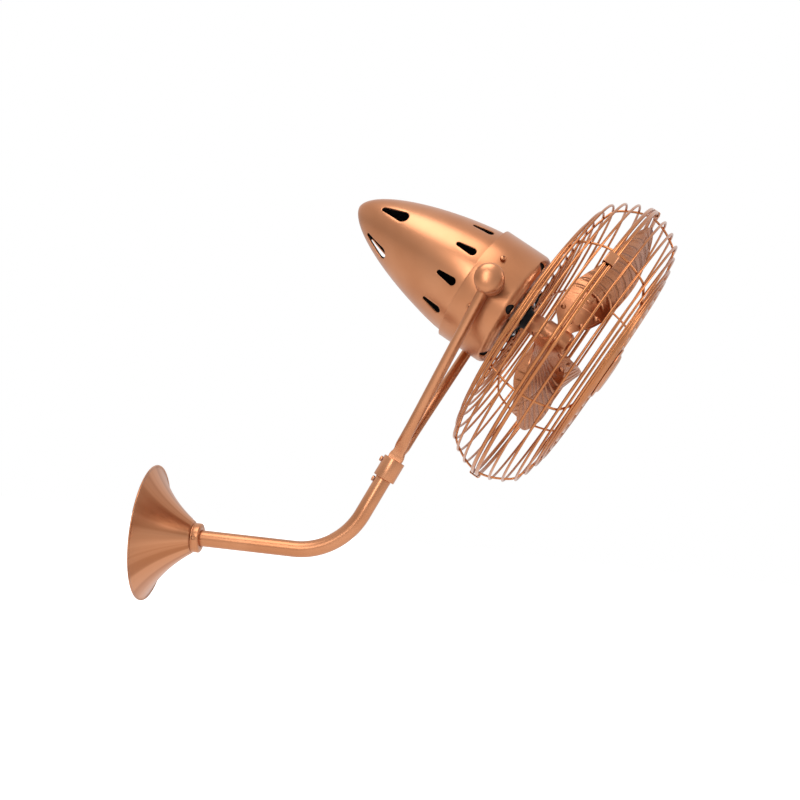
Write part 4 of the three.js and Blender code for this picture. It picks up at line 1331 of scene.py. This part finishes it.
        begin, end = self.straight - 1, bend_end + 2
        zone = Zone(self.band, begin, end, self.hole_count, self.first_hole, self.steps, 12)
        edge = bend_end + self.band_radius - self.shoulder - self.opening
        rear = Form().turned([self.band(t) for t in (0, begin * 0.5, begin)], self.steps, False)
        phase = Matrix.Rotation(math.radians(-self.first_hole % (360 / self.steps)), 4, "X")
        front = belt(self.band, end, edge, 6, self.steps)
        whole = zone.sheet(outline).joined(rear.moved(phase), front.moved(phase))
        self.sealed(whole, self.wall).softened(0.35, 50)
        start, radius, bore = self.band_radius - 2, self.boss, self.boss_bore
        foot = [(start, bore), (start, radius + 2), (start + 2.6, radius)]
        for side in (1, -1):
            boss = Form().turned([*foot, (self.boss_end, radius), (self.boss_end, bore)], 64)
            whole.joined(boss.softened(0.5, 40).moved(quarter("Z", side)))
        return whole

    def build(self) -> None:
        """Builds both shells, their black sheets of painted shade and the four bracket screws."""
        place = head_frame()
        self.rear_shell().stands_for("rear_housing", place, Body.HEAD)
        self.front_shell().stands_for("front_housing", place, Body.HEAD)
        # painted shade: black sheets inside both shells
        self.cone_shade_sheet().finished("cone_shade_sheet", place, Body.HEAD, MOTOR_BLACK)
        self.band_shade_sheet().finished("band_shade_sheet", place, Body.HEAD, MOTOR_BLACK)
        stand = shifted(-self.post_station) @ quarter("Y")
        angles = (self.post_angle, -self.post_angle, 180 + self.post_angle, 180 - self.post_angle)
        for number, angle in enumerate(angles, 1):
            seat = self.band_radius + GAP
            screw = round_screw(seat, self.post_radius, self.post_height, self.post_drive)
            screw.moved(around(angle) @ stand).stands_for(f"housing_screw_{number}", place, Body.HEAD)


# ---------------------------------------------------------------- motor
class Motor:
    """The motor's black bells, its winding and core, and the screws and bolts near it."""

    FINISHES = {
        MOTOR_BLACK: ("motor_rear_bell", "motor_front_bell"),
        STEEL: (
            *("stator_core", "bearing_rear", "bearing_front", "rotor_core"),
            *(f"guard_mount_screw_{number}" for number in (1, 2, 3, 4)),
            *("pivot_bolt_left", "pivot_bolt_right"),
        ),
        WIRE: ("stator_coil_rear", "stator_coil_front"),
        NYLON: ("pivot_washer_left", "pivot_washer_right"),
    }

    def build(self) -> None:
        """Dresses the motor."""
        for finish, nodes in self.FINISHES.items():
            dress(nodes, finish)


# ---------------------------------------------------------------- guard
@dataclass
class Guard:
    """The two wire halves with their hub plates, the clips and the plain cap."""

    station: float = 93.5
    radius: float = 167.0
    depth: float = 52.4
    rim_wire: float = 2.0
    rim_gap: float = 1.2
    ring_wire: float = 1.35
    rib_wire: float = 1.25
    weld: float = 0.6
    plate_lift: float = 1.1
    ribs: int = 6
    shoulder_rings: int = 5
    shoulder_span: float = 0.41
    face_rings: int = 8
    face_span: float = 0.55
    hub: float = 30.0
    plate: float = 2.0
    cap_radius: float = 30.4
    cap_height: float = 5.0
    cap_steps: tuple[tuple[float, float], ...] = (  # height over the seat, and drop from the radius
        (0, 0.8),
        (0.9, 0),
        (1.8, 0.6),
        (2.1, 6),
        (2.7, 7),
        (3.9, 8.5),
        (4.5, 12),
        (4.9, 20),
    )
    plate_bore: float = 21.5
    plate_lip: float = 2.5
    nose_bore: float = 5.2
    nose_steps: tuple[tuple[float, float], ...] = ((0, 12.5), (4.5, 11), (6.4, 11))
    big_ring: float = 80.0
    rim_steps: int = 192
    ring_steps: tuple[int, int] = (96, 144)
    outline: tuple[tuple[float, float], ...] = (
        (0.05, 1.0),
        (0.28, 0.982),
        (0.52, 0.946),
        (0.742, 0.895),
        (0.845, 0.82),
        (0.948, 0.677),
        (0.985, 0.4),
        (1.0, 0.15),
    )
    clip_angles: tuple[float, ...] = (85.5, 25.5, 265.5, 205.5)
    clip_size: tuple[float, float, float] = (9.8, 4.6, 14.0)
    clip_sheet: float = 0.9
    clip_corner: float = 1.4

    def curve(self, count: int = 121) -> list[Vector]:
        """Returns the outline of one half, from its rim to its plate.

        Args:
            count: Number of points wanted.
        """
        return bowed([(x * self.depth, 0, r * self.radius) for x, r in self.outline], count)

    def rings(self) -> list[Vector]:
        """Returns where the rings cross the outline."""
        line = self.curve()
        places = []
        for number in range(1, self.shoulder_rings + self.face_rings + 1):
            on_shoulder = min(number, self.shoulder_rings)
            share = on_shoulder / self.shoulder_rings * self.shoulder_span
            share += (number - on_shoulder) / self.face_rings * self.face_span
            places.append(line[round(share * (len(line) - 1))])
        return places

    def rib(self) -> Form:
        """Makes one rib, which runs inside the rings and is bent where they are."""
        line = self.curve(49)
        inset = self.ring_wire + self.rib_wire - self.weld
        sides = [Vector((along.z, 0, -along.x)) for along in directions(line)]
        return Form().wired([here + inset * side for here, side in zip(line, sides)], self.rib_wire)

    def half(self, direction: int) -> Form:
        """Makes the wires of one half.

        Args:
            direction: 1 for the front half, -1 for the rear one.
        """
        rim_station = self.rim_wire + self.rim_gap / 2
        whole = Form().hooped(rim_station, self.radius, self.rim_wire, self.rim_steps, 14)
        for place in self.rings():
            steps = self.ring_steps[place.z > self.big_ring]
            whole.joined(Form().hooped(place.x, place.z, self.ring_wire, steps))
        turns = [FULL_TURN * number / self.ribs for number in range(self.ribs)]
        whole.joined(self.rib().copies([Matrix.Rotation(turn, 4, "X") for turn in turns]))
        if direction < 0:
            whole.moved(Matrix.Scale(-1, 4, (1, 0, 0)))
        return whole

    def rear_plate(self) -> Form:
        """Makes the black ring that the rear wires are welded to, with the nose round the shaft."""
        back, inner, outer = -self.depth - self.plate_lift, self.plate_bore, self.hub + 3
        front, rear, lip = back + 2.2, back - self.plate, outer - self.plate_lip
        profile = [
            (rear, inner),
            (rear, outer - 1),
            (rear + 1, outer),
            (front, outer),
            (front, lip),
            (back, lip),
            (back, inner),
        ]
        steps = [(front + height, radius) for height, radius in self.nose_steps]
        nose = [(front, self.nose_bore), *steps, (steps[-1][0], self.nose_bore)]
        plate = Form().turned(profile, 96).softened(0.3, 40)
        return plate.joined(Form().turned(nose, 64).softened(0.4, 40))

    def clip(self) -> Form:
        """Makes a folded sheet clip over both rims."""
        across, high, length = self.clip_size
        thickness, corner = self.clip_sheet, self.clip_corner
        half, top = across / 2 + thickness, high / 2 + thickness
        x, y = half - corner, top - corner
        corners = ((x, y, 90), (x, -y, 0), (-x, -y, -90), (-x, y, -180))
        outer = [point for *at, turn in corners for point in arc(at, corner, turn, turn - 90, 5)]

        def fold(stations: Sequence[float], wide: float, tall: float) -> Form:
            places = [Matrix.Translation((0, step, self.radius)) for step in stations]
            section = [Vector((x * wide / half, y * tall / top, 0)) for x, y in outer]
            return Form().swept([place @ quarter("X", -1) for place in places], lambda _: section)

        body = fold((-length / 2, 0, length / 2), half, top)
        return body.cut_by(fold((-length, length), across / 2, high / 2)).softened(0.2, 50)

    def cap(self) -> Form:
        """Makes the plain stepped cap in the middle of the front."""
        start = self.depth + self.plate_lift + GAP
        steps = [(start + height, self.cap_radius - drop) for height, drop in self.cap_steps]
        profile = [(start, 0), *steps, (start + self.cap_height, 0)]
        return Form().turned(profile, 96, False).softened(0.35, 20, 3)

    def build(self) -> None:
        """Builds both halves, the clips and the cap."""
        place = head_frame() @ shifted(self.station)
        self.half(-1).stands_for("rear_guard", place, Body.HEAD, GUARD_COPPER)
        self.rear_plate().finished("rear_guard_plate", place, Body.HEAD, MOTOR_BLACK)
        face, edge = self.depth + self.plate_lift, self.hub + 2
        back = face - self.plate
        plate = Form().turned([(back, 0), (back, edge), (face, edge), (face, 0)], 96, False)
        front = self.half(1).joined(plate.softened(0.3))
        front.stands_for("front_guard", place, Body.HEAD, GUARD_COPPER)
        for number, angle in enumerate(self.clip_angles, 1):
            self.clip().moved(around(angle)).stands_for(f"guard_clip_{number}", place, Body.HEAD)
        self.cap().stands_for("guard_cap", place, Body.HEAD)
        dress(["guard_cap_screw"], STEEL)


# ---------------------------------------------------------------- rotor
@dataclass
class Blade:
    """The outline, twist and stamped relief of one blade."""

    station: float = 93.5
    tip: float = 152.0
    root: float = 24.0
    sheet: float = 1.2
    camber: float = 0.07
    root_pitch: float = 76.0
    tip_pitch: float = 20.0
    twist: float = 1.8
    lift: float = 5.0
    vein_pitch: float = 10.5
    vein_rise: float = 16.0
    vein_fall: float = 9.5
    vein_height: float = 0.9
    vein_width: float = 0.8
    vein_slant: float = 2.4
    vein_start: float = 50.0
    midrib_height: float = 0.7
    midrib_width: float = 1.3
    # painted shadow: where the dark band beside each vein lies, and how wide it is
    vein_shadow_place: float = 1.3
    vein_shadow_width: float = 0.8
    rows: int = 260
    columns: int = 110
    iron_sheet: float = 2.0
    iron_stand: float = 0.7
    iron_root: float = 12.5
    iron_outer: float = 41.0
    iron_stem: float = 0.45
    iron_spread: float = 0.94
    rivet_rear: tuple[float, float] = (3.0, 2.1)  # radius and height of a head
    rivet_front: tuple[float, float] = (2.6, 1.4)
    rivet_places: tuple[tuple[float, float], ...] = ((24, 0.52), (25.5, 0.82), (33, 0.13), (40, 0.87))
    outline: tuple[tuple[float, float, float], ...] = (
        (0.16, -30, 11),
        (0.22, -32, 18),
        (0.3, -34, 26),
        (0.47, -42, 37),
        (0.64, -41, 44),
        (0.79, -41, 44),
        (0.89, -35, 35),
        (0.955, -23, 23),
        (1.0, -8, 8),
    )

    def edges(self) -> list[Vector]:
        """Returns the blade's two edges as one smooth row of (radius, rear, front)."""
        return bowed([(share * self.tip, rear, front) for share, rear, front in self.outline], 81)

    def point(self, radius: float, along: float, rear: float, front: float) -> tuple[Vector, Vector]:
        """Returns a point of the middle surface and the face's direction there."""
        inward = 1 - min((radius - self.root) / (self.tip - self.root), 1)
        gain = (self.root_pitch - self.tip_pitch) * inward**self.twist
        pitch = math.radians(self.tip_pitch + gain)
        chord = Vector((math.sin(pitch), -math.cos(pitch), 0))
        forward = self.station + self.lift * eased(3 * radius / self.tip - 1)
        face = Vector((-chord.y, chord.x, 0))
        across = (2 * along - rear - front) / (front - rear)
        bow = self.camber * (front - rear) * (1 - min(across * across, 1))
        return Vector((forward, 0, radius)) + chord * along + face * bow, face

    def relief(
        self, radius: float, along: float, rear: float, front: float
    ) -> tuple[float, float]:
        """Returns the height of the veins at a point of the blade, and how much painted shadow lies
        there beside a vein.
        """
        half = (front - rear) / 2
        off = (along - (rear + front) / 2) / half
        bend = (self.vein_rise if off < -0.5 else self.vein_fall) * -((off + 0.5) ** 2)
        phase = (radius - bend) / self.vein_pitch
        nearest = (phase - round(phase)) * self.vein_pitch
        width = self.vein_width * (1 if nearest > 0 else self.vein_slant)
        # painted shadow: a dark band on one side of each vein, standing in for the vein's shade
        painted_shadow = hump(nearest, self.vein_shadow_place, self.vein_shadow_width)
        midrib = self.midrib_height * hump(off * half, 0, self.midrib_width)
        ends = clamp((radius - self.vein_start) / 8) * clamp((self.tip - radius) / 8)
        reach = clamp((1 - abs(off)) * half / 5) * ends
        return self.vein_height * max(midrib, hump(nearest, 0, width)) * reach, painted_shadow * reach

    def edges_at(self, radius: float) -> tuple[float, float]:
        """Returns the rear and the front edge at a radius."""
        line = self.edges()
        nearest = min(line, key=lambda row: abs(row.x - radius))
        return nearest.y, nearest.z

    def iron(self) -> Form:
        """Makes the pressed iron that carries the blade, on its rear face."""
        form = Form()
        bmesh.ops.create_grid(form.mesh, x_segments=36, y_segments=36, size=1.0)
        for vert in form.mesh.verts:
            out, side = (vert.co.x + 1) / 2, vert.co.y
            reach = self.iron_outer + 2.5 * (1 - side * side)
            radius = self.iron_root + (reach - self.iron_root) * out
            rear, front = self.edges_at(radius)
            spread = self.iron_stem + (self.iron_spread - self.iron_stem) * eased(2 * out)
            along = (rear + front) / 2 + (front - rear) / 2 * side * spread
            middle, face = self.point(radius, along, rear, front)
            vert.co = middle - face * (self.sheet / 2 + self.iron_stand)
        bmesh.ops.recalc_face_normals(form.mesh, faces=form.mesh.faces)
        if sum((face.normal.x for face in form.mesh.faces), 0.0) < 0:
            bmesh.ops.reverse_faces(form.mesh, faces=form.mesh.faces)
        return form.thickened(self.iron_sheet).softened(0.5, 50)

    def rivets(self) -> Form:
        """Makes the four domed rivet heads that hold the blade to its iron."""
        heads = Form()
        for radius, share in self.rivet_places:
            rear, front = self.edges_at(radius)
            along = rear + (front - rear) * share
            middle, face = self.point(radius, along, rear, front)
            back = self.sheet / 2 + self.iron_stand + self.iron_sheet
            ends = ((-face, back, self.rivet_rear), (face, self.sheet / 2, self.rivet_front))
            for way, stand, size in ends:
                seat = Matrix.Translation(middle + way * stand)
                heads.domed(seat @ turn_to(way, Vector((0, 0, 1))), *size)
        return heads

    def build(self, turn: Matrix, number: int) -> None:
        """Builds the blade.

        Args:
            turn: Its turn round the shaft.
            number: Its number.
        """
        place, form, line = head_frame(), Form(), self.edges()
        # the vertex layer carries the painted vein shadow that darkens the blade's colour
        vein_shadow = form.mesh.verts.layers.float.new(BLADE_COPPER.painted_shade)
        bmesh.ops.create_grid(form.mesh, x_segments=self.rows, y_segments=self.columns, size=1.0)
        for vert in form.mesh.verts:
            share = (vert.co.x + 1) / 2 * (len(line) - 1)
            low = min(int(share), len(line) - 2)
            radius, rear, front = line[low].lerp(line[low + 1], share - low)
            along = rear + (front - rear) * (vert.co.y + 1) / 2
            middle, face = self.point(radius, along, rear, front)
            height, vert[vein_shadow] = self.relief(radius, along, rear, front)
            vert.co = middle - face * (height + self.sheet / 2)
        bmesh.ops.recalc_face_normals(form.mesh, faces=form.mesh.faces)
        form.thickened(self.sheet).moved(turn)
        form.stands_for(f"blade_{number}", place, Body.ROTOR, BLADE_COPPER, smooth=50)
        self.iron().moved(turn).stands_for(f"blade_iron_{number}", place, Body.ROTOR)
        self.rivets().moved(turn).finished(f"blade_rivets_{number}", place, Body.ROTOR)


@dataclass
class Rotor:
    """The shaft, hub, irons with their rivets, and the blades."""

    phase: float = 6.0
    hub_radius: float = 13.5
    hub_rear: float = 66.0
    hub_front: float = 101.0
    hub_dome: float = 6.0
    collar_radius: float = 11.7
    collar_rear: float = 50.0
    collar_bore: float = 4.8

    def build(self) -> None:
        """Builds the hub and the three blades."""
        place = head_frame()
        seat, nose = self.hub_rear + GAP, self.hub_front - self.hub_dome
        turns = [math.radians(90 * number / 12) for number in range(12)]
        dome = [
            (nose + self.hub_dome * math.sin(turn), self.hub_radius * math.cos(turn))
            for turn in turns
        ]
        hub = Form().turned([(seat, 0), (seat, self.hub_radius), *dome, (self.hub_front, 0)], 72, False)
        hub.softened(0.4).stands_for("blade_hub", place, Body.ROTOR)
        bore, edge = self.collar_bore, self.collar_radius
        rear, front = self.collar_rear, self.hub_rear
        collar = Form().turned([(rear, bore), (rear, edge), (front, edge), (front, bore)], 72)
        collar.softened(0.8, 40, 3).stands_for("shaft_collar", place, Body.ROTOR)
        dress(["shaft", "hub_set_screw"], STEEL)
        for number in (1, 2, 3):
            turn = Matrix.Rotation(math.radians(self.phase + 120 * (number - 1)), 4, "X")
            Blade().build(turn, number)


# ---------------------------------------------------------------- studio
@dataclass
class Studio:
    """A plain pale floor, soft light and the camera at the photographed angle."""

    eye: tuple[float, float, float] = (0.4163, -1.3991, 0.0405)
    right: tuple[float, float, float] = (0.98870, 0.10219, 0.10967)
    up: tuple[float, float, float] = (-0.09909, -0.10339, 0.98969)
    back: tuple[float, float, float] = (0.11248, -0.98938, -0.09210)
    field_of_view: float = 33.84
    floor_level: float = -0.42
    floor_size: float = 30.0
    floor_paint: float = 0.82
    floor_glow: float = 0.75
    mirrored: float = 0.25
    lamp_target: tuple[float, float, float] = (0.3, 0.0, 0.15)
    lamps: tuple[tuple, ...] = (  # name, place, width, height and power
        ("top_lamp", (0.0, -0.8, 1.8), 1.2, 1.2, 15),
        ("strip_lamp", (0.0, -1.55, 0.62), 0.35, 0.9, 6),
        ("rim_lamp", (1.6, -0.3, 0.8), 0.6, 0.6, 5),
    )
    room_floor: float = 0.5
    room_rise: tuple[float, float] = (-0.3, 0.5)
    room_depth: tuple[float, float] = (-0.9, 0.3)
    room_front: float = 0.55

    def camera(self) -> None:
        """Sets up the camera."""
        lens = bpy.data.cameras.new("camera")
        lens.sensor_fit = "HORIZONTAL"
        lens.angle = math.radians(self.field_of_view)
        holder = placed("camera", lens)
        turned = Matrix((self.right, self.up, self.back)).transposed().to_4x4()
        holder.matrix_world = Matrix.Translation(self.eye) @ turned
        bpy.context.scene.camera = holder

    def floor(self) -> None:
        """Lays the floor, white to the camera and still taking the shadow."""
        form = Form()
        bmesh.ops.create_grid(form.mesh, x_segments=1, y_segments=1, size=self.floor_size)
        mesh = bpy.data.meshes.new("floor")
        form.moved(Matrix.Translation((0, 0, self.floor_level))).mesh.to_mesh(mesh)
        material = bpy.data.materials.new("pale_floor")
        tree = ShaderTree(material)
        paint = tree.node("ShaderNodeBsdfDiffuse", {}, Color=(*[self.floor_paint] * 3, 1))
        strength = self.seen(tree, self.mirrored) * self.floor_glow
        glow = tree.node("ShaderNodeEmission", {}, Color=(1, 1, 1, 1), Strength=strength)
        both = tree.node("ShaderNodeAddShader", {}, paint, glow)
        tree.node("ShaderNodeOutputMaterial", {}, Surface=both)
        material.cycles.emission_sampling = "NONE"
        mesh.materials.append(material)
        placed("floor", mesh)

    @staticmethod
    def seen(tree: ShaderTree, mirrored: float) -> Signal:
        """Returns 1 for the rays that show the backdrop, and a part of it for what metal mirrors.

        Args:
            tree: The tree that the rays are told apart in.
            mirrored: The part that metal mirrors.
        """
        camera, glossy, through = (
            tree.output("ShaderNodeLightPath", f"Is {kind} Ray")
            for kind in ("Camera", "Glossy", "Transmission")
        )
        return (camera + mirrored * glossy + through).clamped()

    def sky(self) -> None:
        """Makes the world white where it is seen, and softer as a light."""
        world = bpy.data.worlds.new("studio")
        bpy.context.scene.world = world
        tree = ShaderTree(world)
        way = tree.output("ShaderNodeTexCoord", "Generated")
        dot = {"operation": "DOT_PRODUCT"}
        height = tree.node("ShaderNodeVectorMath", dot, way, (0, 0, 1))
        depth = tree.node("ShaderNodeVectorMath", dot, way, (0.2, 1, 0))
        front, floor = self.room_front, self.room_floor
        behind = front + (1 - front) * depth.above(*self.room_depth)
        room = floor + (1 - floor) * height.above(*self.room_rise) * behind
        seen = self.seen(tree, 0.0)
        strength = seen + (1 - seen) * room
        glow = tree.node("ShaderNodeBackground", {}, Color=(1, 1, 1, 1), Strength=strength)
        tree.node("ShaderNodeOutputWorld", {}, Surface=glow)

    def lamp(self, name: str, place: Sequence[float], width: float, height: float, power: float) -> None:
        """Hangs one soft lamp that looks at the fan.

        Args:
            name: The lamp's name.
            place: Its place in metres.
            width: Its width in metres.
            height: Its height in metres.
            power: Its power in watts.
        """
        light = bpy.data.lights.new(name, "AREA")
        light.shape = "RECTANGLE"
        light.size, light.size_y, light.energy = width, height, power
        aim = (Vector(self.lamp_target) - Vector(place)).to_track_quat("-Z", "Y")
        placed(name, light).matrix_world = Matrix.Translation(place) @ aim.to_matrix().to_4x4()

    def build(self) -> None:
        """Builds the studio."""
        self.camera()
        self.floor()
        self.sky()
        for row in self.lamps:
            self.lamp(*row)
        bpy.context.scene.view_settings.view_transform = "Standard"


def main() -> None:
    """Builds the fan from the wall outwards."""
    logging.basicConfig(level=logging.INFO, format="%(name)s %(message)s")
    Studio().build()
    for part in (WallArm(), Canopy(), Fork(), Housing(), Motor(), Guard(), Rotor()):
        part.build()


if __name__ == "__main__":
    main()
